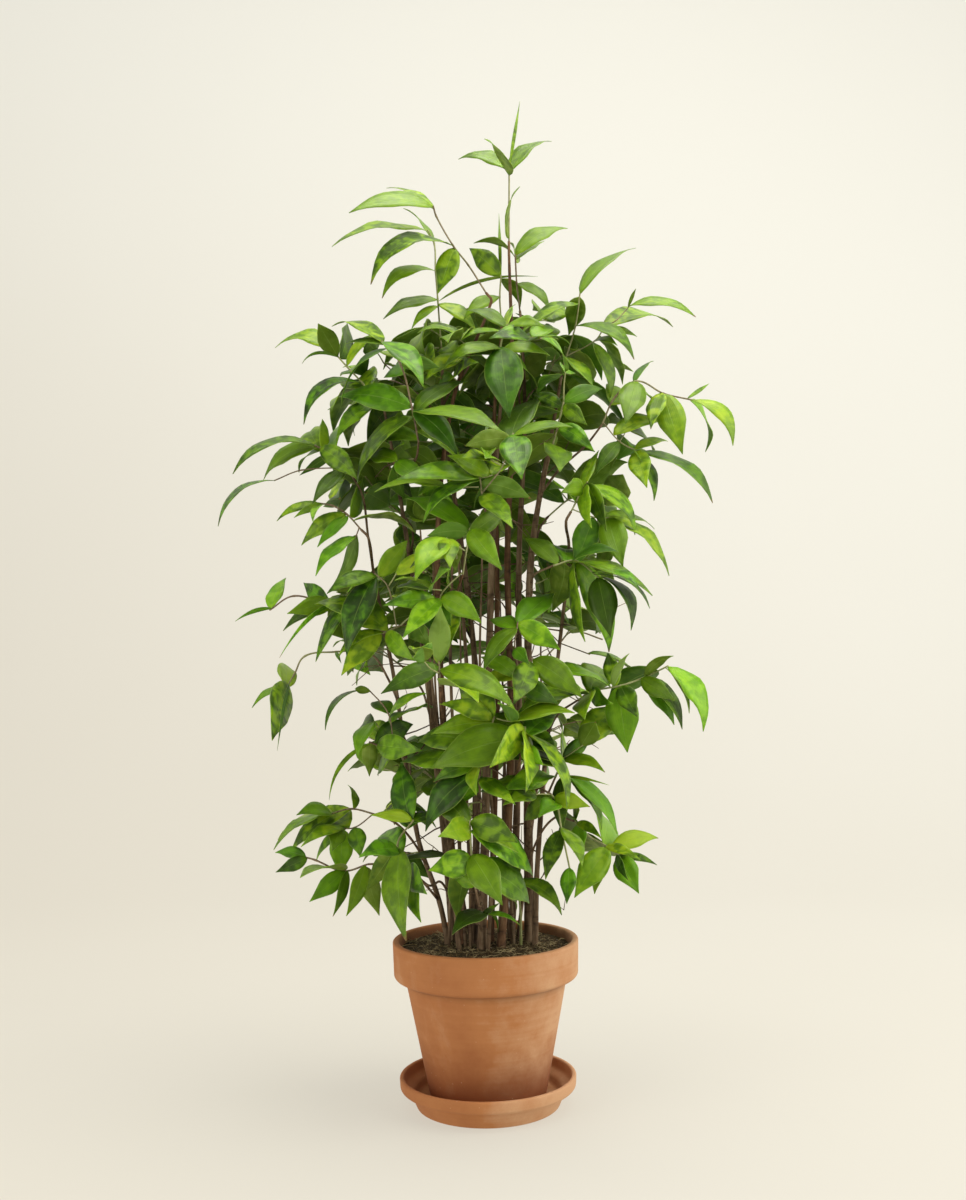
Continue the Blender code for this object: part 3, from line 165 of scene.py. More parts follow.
# The camera: where it stands, how far it looks up and is turned, in radians, its lens in
# millimetres and the nearest that it sees; and the faces in the backdrop's bend
EYE = Vector((4.7, -1490.0, 498.5)) * MM
CAMERA_TILT = 0.0467
CAMERA_ROLL = -0.0195
CAMERA_LENS = 39
CAMERA_SENSOR = 36
CAMERA_NEAREST = 0.05
COVE_STEPS = 24

# Sprays seen from the front, in millimetres as seen on the upright plane through the middle of
# the pot: (name, cane, fork height or 0 for the cane's own end, depth, knots, leaves). A knot is
# (x, z) after the one before it, or (x, z, the knot that it grows from). A leaf is (knot, tip x,
# tip z, width as seen, bow), with the width below 0 where the underside shows.
SPRAYS = (
    ("top_leader", 4, 0, 0, ((43, 985), (44, 1030), (45, 1071)),
     ((2, 59, 1150, 4, 0), (2, -15, 1085, 12, 0.16), (2, 95, 1104, 12, 0.12), (2, 22, 1109, -20, 0),
      (0, 53, 1050, -6, 0.05))),
    ("top_right", 5, 0, 10, ((54, 903), (51, 935), (50, 968)),
     ((2, 112, 1000, 16, 0.12), (2, 2, 982, -9, 0.2), (2, 84, 984, 7, 0), (1, 90, 903, 12, 0.12),
      (2, 40, 985, 8, 0))),
    ("top_middle", 7, 0, 16, ((32, 893), (31, 920), (33, 944)),
     ((2, -4, 978, 24, 0.05), (2, 54, 905, 16, 0.15), (2, 32, 1018, 4, 0), (1, -12, 895, 14, 0.1))),
    ("top_left", 1, 0, -8, ((15, 925), (-5, 958), (-22, 981), (-41, 1016), (-44, 1027)),
     ((4, -142, 1021, 19, 0.12), (4, -98, 1054, 7, 0.04), (2, -122, 940, 16, 0.3),
      (2, -40, 925, -28, 0))),
    ("top_thin", 2, 0, 22, ((-38, 862), (-41, 918), (-43, 952), (-44, 984), (-51, 999)),
     ((4, -165, 987, 9, 0.08), (3, -78, 1028, 6, 0), (2, -107, 922, 13, 0.28), (1, -105, 897, 13, 0.1),
      (1, 75, 942, 4, 0.16), (1, 4, 880, 15, 0.1), (1, -72, 884, 10, 0.1))),
    ("left_top", 0, 0, -10, ((-112, 798), (-130, 822), (-148, 842), (-159, 855)),
     ((3, -231, 866, 13, 0.3), (3, -181, 894, -24, 0), (3, -201, 846, 4, 0.3), (3, -146, 892, 16, 0),
      (1, -198, 775, 14, 0.35), (2, -112, 882, 12, 0.1), (0, -162, 756, 18, 0.1))),
    ("upper_left", 0, 700, -72, ((-66, 752), (-73, 792), (-85, 842), (-106, 870)),
     ((1, -158, 808, 28, 0.08), (1, -21, 736, 25, 0.1), (1, 30, 762, 12, 0.05),
      (1, -8, 822, 15, 0.1), (3, -58, 820, 28, 0.05), (3, -165, 893, 10, 0.12),
      (2, -40, 838, 16, 0.12), (3, -150, 868, 6, 0.1), (0, -118, 756, 18, 0.1))),
    ("upper_middle", 3, 0, -46, ((34, 838), (31, 862), (39, 886)),
     ((1, 39, 778, 42, 0), (1, -38, 838, 14, 0.15), (2, 82, 884, 13, 0.1), (2, -8, 905, 12, 0.1),
      (2, 47, 912, 9, 0), (1, 88, 850, 12, 0.12))),
    ("right_top", 6, 0, -6, ((106, 846), (118, 884), (124, 921), (140, 866, 0), (152, 881), (166, 890),
                             (181, 906)),
     ((2, 190, 975, 11, 0.1), (2, 110, 873, -25, 0), (1, 187, 845, 14, 0.2), (3, 166, 860, 10, 0.1),
      (0, 137, 813, 16, 0), (6, 258, 892, 11, 0.14), (4, 228, 879, 10, 0.12), (4, 191, 872, 8, 0.05),
      (3, 158, 800, 15, 0.05), (6, 188, 926, 5, 0))),
    ("upper_right", 6, 660, -58, ((88, 744), (95, 768), (102, 794)),
     ((2, 149, 811, 18, 0.1), (2, 128, 768, 18, 0.05), (2, 66, 806, 16, 0.05), (1, 136, 738, 20, 0.05),
      (1, 58, 768, 14, 0.05), (0, 98, 712, 24, 0))),
    ("right_far", 6, 690, -34, ((146, 768), (162, 800), (187, 818), (218, 803), (250, 795),
                                (166, 748, 0), (187, 736)),
     ((2, 173, 769, 30, 0), (3, 238, 733, 32, 0), (4, 298, 741, 15, 0.28), (4, 269, 733, 12, 0.15),
      (4, 271, 813, 5, 0), (3, 202, 762, 20, 0), (2, 208, 842, 9, 0), (6, 275, 677, 14, 0.16),
      (6, 196, 694, 26, 0), (5, 137, 711, 17, 0.05), (5, 155, 716, 12, 0), (6, 222, 748, 10, 0.05),
      (6, 206, 679, 10, 0.1))),
    ("right_middle", 9, 0, -66, ((108, 668), (119, 688), (127, 701), (134, 661, 0), (150, 660)),
     ((2, 148, 644, 18, 0.1), (2, 130, 649, 14, 0), (2, 184, 640, 16, 0.25), (2, 97, 690, 20, 0.1),
      (2, 142, 738, 12, 0), (4, 166, 604, 30, 0), (4, 217, 591, 15, 0.18), (3, 110, 603, 28, 0),
      (4, 201, 645, 9, 0.1))),
    ("right_hanging", 6, 545, -92, ((86, 606), (112, 611), (137, 592)),
     ((2, 150, 523, 30, 0), (2, 174, 530, 12, 0.3), (2, 199, 557, 6, 0.15), (2, 185, 576, 14, 0.1),
      (1, 149, 508, 24, 0.05), (1, 122, 518, 12, 0), (0, 20, 592, 20, 0.1), (0, 52, 640, 18, 0.05),
      (1, 160, 618, 16, 0.1), (1, 200, 570, 8, 0.1))),
    ("right_fan", 9, 415, -70, ((112, 452), (126, 461), (160, 467), (190, 477), (214, 488)),
     ((2, 178, 431, 22, 0), (2, 166, 391, 37, 0), (2, 146, 506, 19, 0), (3, 230, 416, 16, 0.12),
      (4, 256, 413, 21, 0.2), (3, 222, 500, -12, 0.1), (3, 221, 421, 19, 0.08), (3, 222, 449, 20, 0),
      (4, 239, 434, 5, 0.1), (1, 148, 446, 18, 0), (2, 172, 504, -10, 0.05), (1, 120, 430, 20, 0))),
    ("middle_right", 4, 440, -122, ((46, 470), (60, 499), (40, 512, 0), (44, 541)),
     ((1, 116, 454, 28, 0.08), (1, 38, 449, 28, 0), (0, 88, 448, 22, 0), (3, 92, 509, 24, 0.05),
      (3, 88, 577, 24, 0), (3, 3, 487, 18, 0.08), (2, 56, 494, 15, 0), (3, 10, 545, 18, 0.05))),
    ("lower_middle_fan", 4, 345, -128, ((46, 396), (50, 421)),
     ((1, 8, 377, 24, 0.05), (1, 50, 349, 24, 0), (1, 96, 327, 12, 0.2), (1, -4, 434, 20, 0.1),
      (1, 86, 434, 22, 0.05), (0, 70, 378, 18, 0))),
    ("lower_right", 9, 320, -60, ((84, 366), (92, 385), (98, 365, 0)),
     ((1, 127, 409, 17, 0.05), (1, 140, 369, 15, 0.15), (2, 153, 299, 16, 0.1), (2, 137, 304, 14, 0.12),
      (2, 142, 353, 4, 0.05), (1, 90, 434, 18, 0), (2, 90, 300, 18, 0))),
    ("low_right", 6, 250, -48, ((104, 314), (120, 297), (145, 282), (153, 273)),
     ((2, 200, 294, 19, 0.12), (2, 102, 228, 30, 0.05), (2, 124, 231, 18, 0), (3, 175, 232, 26, 0),
      (3, 197, 263, 9, 0.1), (0, 134, 294, 12, 0.1), (3, 162, 247, 10, 0), (2, 178, 271, 11, 0),
      (0, 112, 278, 18, 0))),
    ("low_right_hanging", 6, 275, -92, ((78, 345), (84, 336), (89, 305), (97, 262)),
     ((3, 93, 221, 18, 0), (2, 69, 249, 19, 0.05), (1, 64, 321, 22, 0), (2, 112, 262, 20, 0.05),
      (0, 46, 318, 24, 0), (0, 122, 330, 18, 0.05))),
    ("low_middle", 3, 215, -136, ((-10, 240), (-14, 279), (-15, 316)),
     ((2, 39, 291, 27, 0.08), (2, 39, 279, 12, 0), (2, -58, 360, 28, 0), (2, -50, 300, 26, 0.05),
      (1, 20, 222, 33, 0), (1, -28, 206, 22, 0), (1, -63, 262, 30, 0), (0, -34, 251, 12, 0.1))),
    ("low_front", 3, 196, -74, ((-6, 208), (1, 213)),
     ((1, -40, 194, 18, 0.05), (1, 14, 189, 5, 0.2), (1, 39, 198, 5, 0.2), (1, 17, 224, 6, 0))),
    ("left_fan", 8, 345, -56, ((-98, 396), (-127, 408), (-106, 440, 0), (-128, 468)),
     ((1, -128, 370, 19, 0), (1, -175, 343, 5, 0.3), (1, -76, 428, 26, 0.1), (1, -70, 398, 28, 0),
      (0, -118, 373, 22, 0), (3, -179, 423, 5, 0.3), (3, -147, 470, 10, 0), (2, -122, 455, 19, 0),
      (2, -62, 462, 14, 0.1))),
    ("left_low", 8, 270, -34, ((-122, 326), (-150, 333), (-172, 328), (-146, 312, 0), (-163, 311)),
     ((2, -211, 328, 17, 0.1), (2, -236, 304, 13, 0.12), (2, -240, 289, 8, 0.15), (1, -217, 284, 20, 0.1),
      (1, -153, 359, 8, 0.1), (4, -172, 286, 19, 0), (4, -164, 258, 26, 0), (4, -207, 289, 12, 0.1),
      (4, -192, 274, 9, 0.1), (3, -140, 278, 20, 0))),
    ("left_low_outer", 8, 225, -52, ((-132, 270), (-160, 263), (-192, 276), (-202, 279)),
     ((3, -237, 285, 13, 0.1), (3, -237, 263, 15, 0), (1, -212, 254, 24, 0), (1, -199, 229, 20, 0),
      (1, -172, 212, 11, 0), (0, -157, 212, 18, 0), (0, -120, 212, 24, 0))),
    ("left_low_inner", 0, 230, -100, ((-82, 262), (-98, 290), (-80, 318)),
     ((1, -135, 239, 23, 0), (1, -92, 183, 35, 0), (0, -74, 203, 17, 0), (0, -64, 232, 20, 0),
      (1, -142, 282, 22, 0.05), (2, -128, 325, 13, 0.05), (2, -48, 325, 14, 0.05), (2, -92, 386, 28, 0))),
    ("left_bent", 8, 455, 0, ((-138, 513), (-165, 512), (-200, 508), (-213, 487), (-222, 472)),
     ((4, -226, 503, 20, 0), (4, -262, 450, 8, 0.12), (4, -241, 410, 19, 0.1), (4, -235, 399, 5, 0.05),
      (1, -160, 498, 5, 0))),
    ("left_middle", 8, 520, -26, ((-145, 572), (-170, 567), (-212, 577), (-239, 562)),
     ((1, -201, 592, 21, 0), (1, -220, 557, 23, 0.05), (1, -225, 537, 14, 0.1), (0, -188, 501, 16, 0),
      (1, -225, 510, 7, 0.15), (3, -221, 598, 17, 0.05), (3, -280, 549, 5, 0.15))),
    ("left_middle_front", 0, 505, -84, ((-92, 540), (-112, 532), (-104, 585, 0), (-118, 600)),
     ((1, -159, 485, 25, 0.1), (1, -163, 504, 11, 0.25), (3, -154, 508, 30, 0.05), (3, -175, 580, 16, 0.1),
      (1, -76, 500, 20, 0), (3, -80, 640, 22, 0))),
    ("left_upper", 8, 600, -22, ((-148, 722), (-166, 740), (-185, 750), (-202, 722, 0), (-232, 711)),
     ((2, -284, 722, 11, 0.2), (2, -248, 714, 15, 0.2), (2, -137, 710, 24, 0.1), (4, -299, 659, 7, 0.25),
      (1, -203, 716, 12, 0), (0, -190, 684, 18, 0), (1, -150, 780, 16, 0.05), (2, -176, 782, 12, 0))),
    ("left_upper_inner", 8, 0, -44, ((-134, 652), (-150, 670), (-166, 680), (-180, 683), (-140, 644, 0)),
     ((3, -232, 665, 9, 0.12), (3, -211, 667, 9, 0.1), (3, -189, 662, 8, 0.1), (1, -202, 636, 20, 0.1),
      (1, -185, 633, 13, 0), (4, -188, 600, 14, 0.1), (4, -160, 589, 14, 0),
      (1, -128, 712, 16, 0.05))),
    ("middle_top", 3, 640, -112, ((6, 688), (4, 709), (30, 722, 0), (43, 759)),
     ((1, -93, 707, 19, 0.1), (1, -62, 658, 15, 0.2), (1, 62, 684, 22, 0.1), (0, 40, 652, 24, 0),
      (3, 52, 707, 33, 0), (3, 112, 766, 13, 0.1), (3, -14, 746, 22, 0.08), (3, 78, 800, 16, 0.05))),
    ("middle", 1, 545, -128, ((-18, 598), (-9, 650), (-40, 580, 0), (-46, 567)),
     ((1, 26, 603, 28, 0), (1, -58, 643, 19, 0.1), (1, -84, 690, 20, 0.05), (1, 36, 672, 20, 0.05),
      (3, -110, 564, 19, 0.08), (3, -33, 539, 15, 0), (3, -88, 527, 22, 0), (3, 2, 542, 24, 0.1))),
    ("middle_left", 1, 425, -140, ((-46, 470), (-47, 498)),
     ((1, -44, 563, -22, 0), (1, -20, 570, 19, 0), (1, -114, 463, 24, 0.08), (1, 40, 445, 26, 0.08),
      (0, -6, 458, 20, 0))),
    ("lower_middle", 3, 320, -124, ((-4, 362), (-4, 385), (6, 410, 1), (15, 433)),
     ((3, -28, 492, 30, 0), (3, -47, 450, 20, 0.1), (3, -59, 417, 22, 0.05), (1, 40, 402, 22, 0),
      (1, -9, 348, 16, 0), (1, -57, 362, 17, 0.1), (1, -94, 386, 24, 0.05), (0, 37, 334, 19, 0))),
)

# The thin green shoot that stands in the soil
SHOOT_RADII = (2.4 * MM, 2.4 * MM, 2.3 * MM, 1.9 * MM, 1.2 * MM)
SHOOT_KNOTS = ((40, -9, 172), (40, -12, 215), (37, -22, 252))
SHOOT_LEAVES = ((88, 209, 16, 0.2), (41, 292, 11, 0), (4, 262, 14, 0.1))

# Sprays round the back: (name, cane, fork height, turn in degrees from the right over the back,
# reach, height), in millimetres, each with its leaves drawn by rule
BACK_SPRAYS = (
    ("back_crown", 2, 800, 100, 78, 872),
    ("back_upper_right", 5, 760, 38, 122, 850),
    ("back_upper_left", 2, 700, 138, 125, 830),
    ("back_high", 7, 690, 84, 138, 770),
    ("back_right", 6, 600, 26, 142, 690),
    ("back_left", 0, 600, 156, 140, 690),
    ("back_middle_right", 5, 540, 62, 152, 620),
    ("back_middle_left", 2, 520, 114, 152, 600),
    ("back_lower_right", 6, 450, 36, 140, 520),
    ("back_lower_left", 0, 420, 144, 145, 500),
    ("back_low_left", 0, 290, 120, 148, 360),
    ("back_low_right", 5, 320, 58, 148, 400),
)
# The knots of a back spray from its foot: millimetres outwards, across and up, and the knot before
BACK_KNOTS = (
    (-48, 0, -22, -1), (-22, 0, -2, 0), (8, 8, 12, 1), (36, -10, 2, 2), (-18, 42, 24, 1), (-14, -44, -16, 1),
)
BACK_WHORL = 3
BRANCH_WHORL = 2
BRANCH_FROM = 4
FILL_FROM = 4
DENSE_SPRAYS = ("left_upper", "left_upper_inner")
UNFILLED_SPRAYS = ("top", "middle")
BACK_LENGTH = (76, 104)
BACK_WIDTH = (0.39, 0.47)
BACK_RISE = (-52, 26)
BACK_ARCH = (0.06, 0.16)
BACK_ROLL = 0.35
BACK_TURN = 0.3
BACK_TURN_MORE = 0.15
BACK_TRIES = 14
FACE_LEAN = 0.9

# What the back leaves leave clear: the width of the plant at each height, and its gaps
OUTLINE = (
    (150, -40, 40), (190, -80, 60), (230, -130, 95), (260, -190, 150), (300, -205, 160), (340, -190, 125),
    (380, -150, 110), (420, -145, 170), (460, -140, 225), (500, -160, 190), (540, -190, 150),
    (580, -195, 165), (620, -160, 165), (660, -175, 160), (700, -205, 190), (740, -220, 230),
    (780, -190, 230), (820, -160, 190), (860, -150, 165), (885, -110, 140), (905, -70, 120), (916, -20, 80),
)
WINDOWS = (
    (-100, 455, -52, 496), (-98, 506, -84, 556), (62, 503, 102, 528), (70, 412, 96, 434),
    (56, 268, 76, 322), (-72, 284, -42, 303), (-60, 205, -40, 252), (117, 556, 136, 590),
    (-44, 434, -28, 496), (-95, 414, -66, 434), (-4, 536, 4, 588), (22, 535, 30, 565),
    (-130, 250, -104, 262), (-150, 292, -118, 334), (-150, 340, -104, 372), (60, 214, 100, 240),
    (-146, 608, -98, 662), (83, 628, 114, 683), (114, 648, 135, 676), (94, 498, 130, 528),
    (150, 500, 200, 560), (-200, 680, -172, 738), (-140, 440, -108, 480),
)

Leaf = namedtuple("Leaf", "root tip width side bow")
Spray = namedtuple("Spray", "name cane fork knots parents shoots leaves")


# Places and curves

def seen(x, z, depth):
    """The point at this depth that shows at (x, z) on the upright plane through the pot."""
    share = (depth * MM - EYE.y) / -EYE.y
    return EYE + (Vector((x, 0, z)) * MM - EYE) * share


def shown(point):
    """(x, z) in millimetres at which a point shows on that plane."""
    share = -EYE.y / (point.y - EYE.y)
    flat = EYE + (point - EYE) * share
    return flat.x / MM, flat.z / MM


def wandering(size, rng):
    """A vector drawn at random, each part of it at most this size."""
    return Vector([rng.uniform(-size, size) for _ in range(3)])


def curve_point(a, b, c, d, t):
    """The point at t of the cubic curve with these ends and handles."""
    u = 1 - t
    return a * u ** 3 + b * 3 * u * u * t + c * 3 * u * t * t + d * t ** 3


def midrib(leaf, s):
    """The point and the direction at the share s of a leaf's midrib."""
    reach = leaf.tip - leaf.root
    first = leaf.root + reach / 3 + leaf.bow * 4 / 3
    second = leaf.root + reach * 2 / 3 + leaf.bow * 4 / 3
    u = 1 - s
    way = (first - leaf.root) * u * u + (second - first) * 2 * u * s + (leaf.tip - second) * s * s
    return curve_point(leaf.root, first, second, leaf.tip, s), way.normalized()


def blade_share(s):
    """The share of a leaf's half width at s: broad before the middle, drawn out to the tip."""
    drawn = max(0.0, (s - LEAF_DRAWN_FROM) / (1 - LEAF_DRAWN_FROM))
    return math.sin(math.pi * s ** LEAF_SHAPE) * (1 - LEAF_DRAWN_BY * drawn)


def blade_frame(leaf, s):
    """The midrib point, the side and the upward face direction at s."""
    point, way = midrib(leaf, s)
    side = (leaf.side - way * leaf.side.dot(way)).normalized()
    return point, side, side.cross(way).normalized()


# Meshes as plain lists of points and faces

def tube(way, radii, sides):
    """A closed tube along the points of way."""
    points = []
    faces = []
    across = None
    for i, point in enumerate(way):
        before = way[max(i - 1, 0)]
        after = way[min(i + 1, len(way) - 1)]
        along = (after - before).normalized()
        if across is None:
            across = along.orthogonal().normalized()
        across = (across - along * across.dot(along)).normalized()
        over = along.cross(across)
        for k in range(sides):
            turn = math.tau * k / sides
            points.append(point + (across * math.cos(turn) + over * math.sin(turn)) * radii[i])
    for i in range(len(way) - 1):
        for k in range(sides):
            a = i * sides + k
            b = i * sides + (k + 1) % sides
            faces.append((a, b, b + sides))
            faces.append((a, b + sides, a + sides))
    last = (len(way) - 1) * sides
    faces.append(tuple(reversed(range(sides))))
    faces.append(tuple(range(last, last + sides)))
    return points, faces


def blade(leaf, extra=0.0, start=0.0):
    """A closed leaf: flat below and ridged above at each station, from the root to the tip."""
    reach = (leaf.tip - leaf.root).length
    long = reach > LONG_LEAF or leaf.bow.length > BENT_LEAF * reach
    fuller = 1 if long else SHORT_FULLER
    stations = [s for s in (LONG_STATIONS if long else SHORT_STATIONS) if s > start]
    points = []
    faces = []
    ups = []
    for s in [start] + stations:
        point, side, up = blade_frame(leaf, s)
        share = min(s / stations[0], 1)
        at = max(s, stations[0])
        broad = max(leaf.width / 2 * blade_share(at) * fuller, LEAF_ROOT_HALF)
        half = LEAF_ROOT_HALF + (broad - LEAF_ROOT_HALF) * share + extra
        thick = LEAF_ROOT_THICKNESS + (LEAF_THICKNESS - LEAF_ROOT_THICKNESS) * share
        floor = point - up * (thick / 3 + extra)
        points += [floor - side * half, point + up * (thick * 2 / 3 + extra), floor + side * half]
        ups.append(up)
    for i in range(len(stations)):
        left, ridge, right = 3 * i, 3 * i + 1, 3 * i + 2
        faces += [(left, ridge, ridge + 3), (left, ridge + 3, left + 3),
                  (ridge, right, right + 3), (ridge, right + 3, ridge + 3)]
        rising = (points[left] + points[right + 3] - points[right] - points[left + 3]).dot(ups[i])
        if rising < 0:
            faces += [(right, left, right + 3), (left, left + 3, right + 3)]
        else:
            faces += [(right, left, left + 3), (right, left + 3, right + 3)]
    last = 3 * len(stations)
    point, way = midrib(leaf, 1)
    points.append(point + way * extra)
    tip = last + 3
    faces += [(last, last + 1, tip), (last + 1, last + 2, tip), (last + 2, last, tip), (0, 2, 1)]
    return points, faces


# Keeping clear of what is there

class Room:
    """What is already placed, so that a new shape can be tried against it."""

    def __init__(self):
        self.things = []

    def add(self, owner, points, faces):
        """Notes a placed shape."""
        low = [min(p[k] for p in points) for k in range(3)]
        high = [max(p[k] for p in points) for k in range(3)]
        self.things.append((owner, low, high, BVHTree.FromPolygons(points, faces)))

    def crossed(self, points, faces, skip=()):
        """The owner of a placed shape that this one crosses, or None."""
        low = [min(p[k] for p in points) for k in range(3)]
        high = [max(p[k] for p in points) for k in range(3)]
        tree = None
        for owner, near, far, other in self.things:
            if owner in skip or any(low[k] > far[k] or high[k] < near[k] for k in range(3)):
                continue
            tree = tree or BVHTree.FromPolygons(points, faces)
            if tree.overlap(other):
                return owner
        return None


def thick_tube(way, radii):
    """A tube with the clearance round it."""
    return tube(way, [r + CLEAR for r in radii], CANE_SIDES)


# Canes, twigs and shoots

def cane_way(index, top, top_way):
    """The points of a cane from its foot in the soil to its top, and the radius at each."""
    _, radius, knots = CANES[index]
    foot = Vector(knots[0]) * MM
    way = [foot - UP * CANE_DEPTH, foot, foot + UP * CANE_STRAIGHT]
    way += [Vector(knot) * MM for knot in knots[1:]]
    way += [top - top_way * CANE_STRAIGHT, top]
    radii = []
    for point in way:
        share = (point.z - foot.z) / (top.z - foot.z)
        slim = 1 - CANE_SLIM * min(max(share, 0) / CANE_SLIM_TO, 1)
        end = max(0.0, (share - CANE_SLIM_TO) / (1 - CANE_SLIM_TO))
        radii.append(radius * MM * slim * (1 - end) + CANE_END_RADIUS * end)
    return way, radii


def at_height(way, height):
    """The point and direction of a cane at a height."""
    for near, far in zip(way, way[1:]):
        if near.z <= height <= far.z:
            share = (height - near.z) / (far.z - near.z)
            return near.lerp(far, share), (far - near).normalized()
    return way[-2], (way[-1] - way[-2]).normalized()


def spray_knots(row, shift):
    """The knots of a spray's shoots in space, and the knot that each grows from."""
    places = []
    parents = []
    for i, knot in enumerate(row[4]):
        parents.append(knot[2] if len(knot) > 2 else i - 1)
        sway = KNOT_SWAY * math.sin(KNOT_SWAY_TURN * i)
        places.append(seen(knot[0], knot[1], row[3] + shift + sway))
    return places, parents


def shoot_chains(parents):
    """The knots as chains: the first from knot 0, each other one from the knot it grows from."""
    chains = [[0]]
    for i, parent in enumerate(parents[1:], 1):
        if parent == i - 1 and chains[-1][-1] == parent:
            chains[-1].append(i)
        else:
            chains.append([parent, i])
    return chains


def shoot_tubes(spray):
    """(points along, radii) of each shoot of a spray."""
    tubes = []
    first = TWIG_END_RADIUS if spray.fork else CANE_END_RADIUS
    for number, chain in enumerate(spray.shoots):
        way = [spray.knots[i] for i in chain]
        if number and chain[0] == 0:
            way[0] = way[0] + (spray.knots[1] - way[0]).normalized() * BRANCH_RISE
        start = first if number == 0 else BRANCH_RADIUS
        steps = len(way) - 1
        last = min(start, SHOOT_END_RADIUS)
        radii = [start + (last - start) * k / steps for k in range(len(way))]
        way[-1] = way[-1] + (way[-1] - way[-2]).normalized() * SHOOT_BEYOND
        tubes.append((way, radii))
    return tubes


def twig_way(root, along, end, end_way, bulge):
    """A curved twig from a cane's middle to the start of a spray."""
    reach = (end - root).length
    out = (end - root).normalized()
    first = root + (out * TWIG_OUT + along * TWIG_ALONG + bulge) * reach * TWIG_PULL
    second = end - (end_way + bulge * TWIG_END_BULGE).normalized() * reach * TWIG_END_PULL
    way = [curve_point(root, first, second, end, t) for t in TWIG_STATIONS]
    last = len(way) - 1
    radii = [TWIG_ROOT_RADIUS + (TWIG_END_RADIUS - TWIG_ROOT_RADIUS) * k / last for k in range(last + 1)]
    return way, radii


def start_of(places):
    """Where the wood that carries a spray ends, and its direction there."""
    along = (places[1] - places[0]).normalized()
    return places[0] - along * GAP, along


def clear_twig(room, cane, way, fork, places, tubes, rng):
    """A twig from the cane to the spray that crosses nothing, or None."""
    end, end_way = start_of(places)
    shoots = Room()
    for shape in tubes:
        shoots.add("", *shape)
    for attempt in range(TWIG_TRIES):
        lift = rng.uniform(-1, 1) * TWIG_STEP * attempt
        root, along = at_height(way, fork * MM + lift)
        bulge = wandering(TWIG_BULGE * attempt, rng)
        found = twig_way(root, along, end, end_way, bulge)
        if room.crossed(*thick_tube(*found), skip=(cane,)):
            continue
        knots, sizes = found
        short_of = knots[-1] + (knots[-2] - knots[-1]).normalized() * TWIG_END_CLEAR
        if not shoots.crossed(*thick_tube(knots[:-1] + [short_of], sizes)):
            return found
    return None


# Leaves

def hand_leaf(root, x, z, width, bow, shift, turn, slim):
    """A leaf from its root to the point where its tip shows, turned to show this width."""
    under = width < 0
    wide = abs(width) * MM * slim
    x0, z0 = shown(root)
    flat = math.hypot(x - x0, z - z0) * MM
    length = max(flat * TURNED_AWAY, wide * LEAST_LENGTH)
    away = math.sqrt(max(length * length - flat * flat, 0)) / MM
    falling = z < z0
    sign = -1 if falling != under else 1
    tip = seen(x, z, root.y / MM + sign * min(away, MOST_AWAY) + shift)
    reach = tip - root
    small = wide < SMALL_WIDTH and flat < SMALL_LENGTH
    full = min(max(wide, reach.length * (SMALL_FULL if small else LEAF_FULL)), LEAF_WIDEST)
    if wide < ROLLED_WIDTH:
        full = wide
    look = ((root + tip) / 2 - EYE).normalized()
    flat_side = look.cross(reach).normalized()
    deep_side = reach.normalized().cross(flat_side)
    lean = math.acos(min(1.0, wide / full)) + turn
    best = None
    for tilt in (lean, -lean):
        side = flat_side * math.cos(tilt) + deep_side * math.sin(tilt)
        up = side.cross(reach).normalized()
        if up.z < 0:
            side, up = -side, -up
        faces_eye = -up.dot(look) * (-1 if under else 1)
        if best is None or faces_eye > best[0]:
            best = (faces_eye, side, up)
    _, side, up = best
    over = look.cross(reach).normalized()
    over = over if over.z > 0 else -over
    lift = (over * bow * BOW_SHARE + up * LEAF_ARCH) * reach.length
    return Leaf(root, tip, full, side, lift)


def back_leaf(root, turn, rise, length, width, arch, roll):
    """A leaf given by the compass turn and rise of its chord, its face leant outwards."""
    reach = Vector((math.cos(turn) * math.cos(rise), math.sin(turn) * math.cos(rise), math.sin(rise)))
    up = UP + Vector((root.x, root.y, 0)).normalized() * FACE_LEAN
    up = (up - reach * up.dot(reach)).normalized()
    side = reach.cross(up)
    side = side * math.cos(roll) + up * math.sin(roll)
    up = side.cross(reach).normalized()
    return Leaf(root, root + reach * length, width, side, up * arch * length)


def leaf_crossed(room, leaf, name, own):
    """What a leaf would cross; with own set, also the leaves and shoots of its own spray."""
    found = room.crossed(*blade(leaf, CLEAR), skip=(name, name + " leaves"))
    if found or not own:
        return found
    return room.crossed(*blade(leaf, 0, LEAF_NECK))


def in_view(leaf):
    """Whether a back leaf keeps inside the plant's outline and out of its gaps."""
    for s in (0.25, 0.5, 0.75, 1.0):
        point, side, _ = blade_frame(leaf, s)
        half = leaf.width / 2 * blade_share(s) if s < 1 else 0
        for k in (-1, 1):
            x, z = shown(point + side * half * k)
            if not inside_outline(x, z) or in_window(x, z):
                return False
    return True


def inside_outline(x, z):
    """Whether the plant's outline holds a point of the seen plane."""
    for (low, left, right), (high, left2, right2) in zip(OUTLINE, OUTLINE[1:]):
        if low <= z <= high:
            share = (z - low) / (high - low)
            return left + (left2 - left) * share < x < right + (right2 - right) * share
    return False


def in_window(x, z):
    """Whether a point of the seen plane is in one of the plant's gaps."""
    return any(x0 < x < x1 and z0 < z < z1 for x0, z0, x1, z1 in WINDOWS)


def step_aside(attempt, step):
    """0, then one step to each side, then two steps, and so on."""
    return (attempt + 1) // 2 * step * (1 if attempt % 2 else -1)


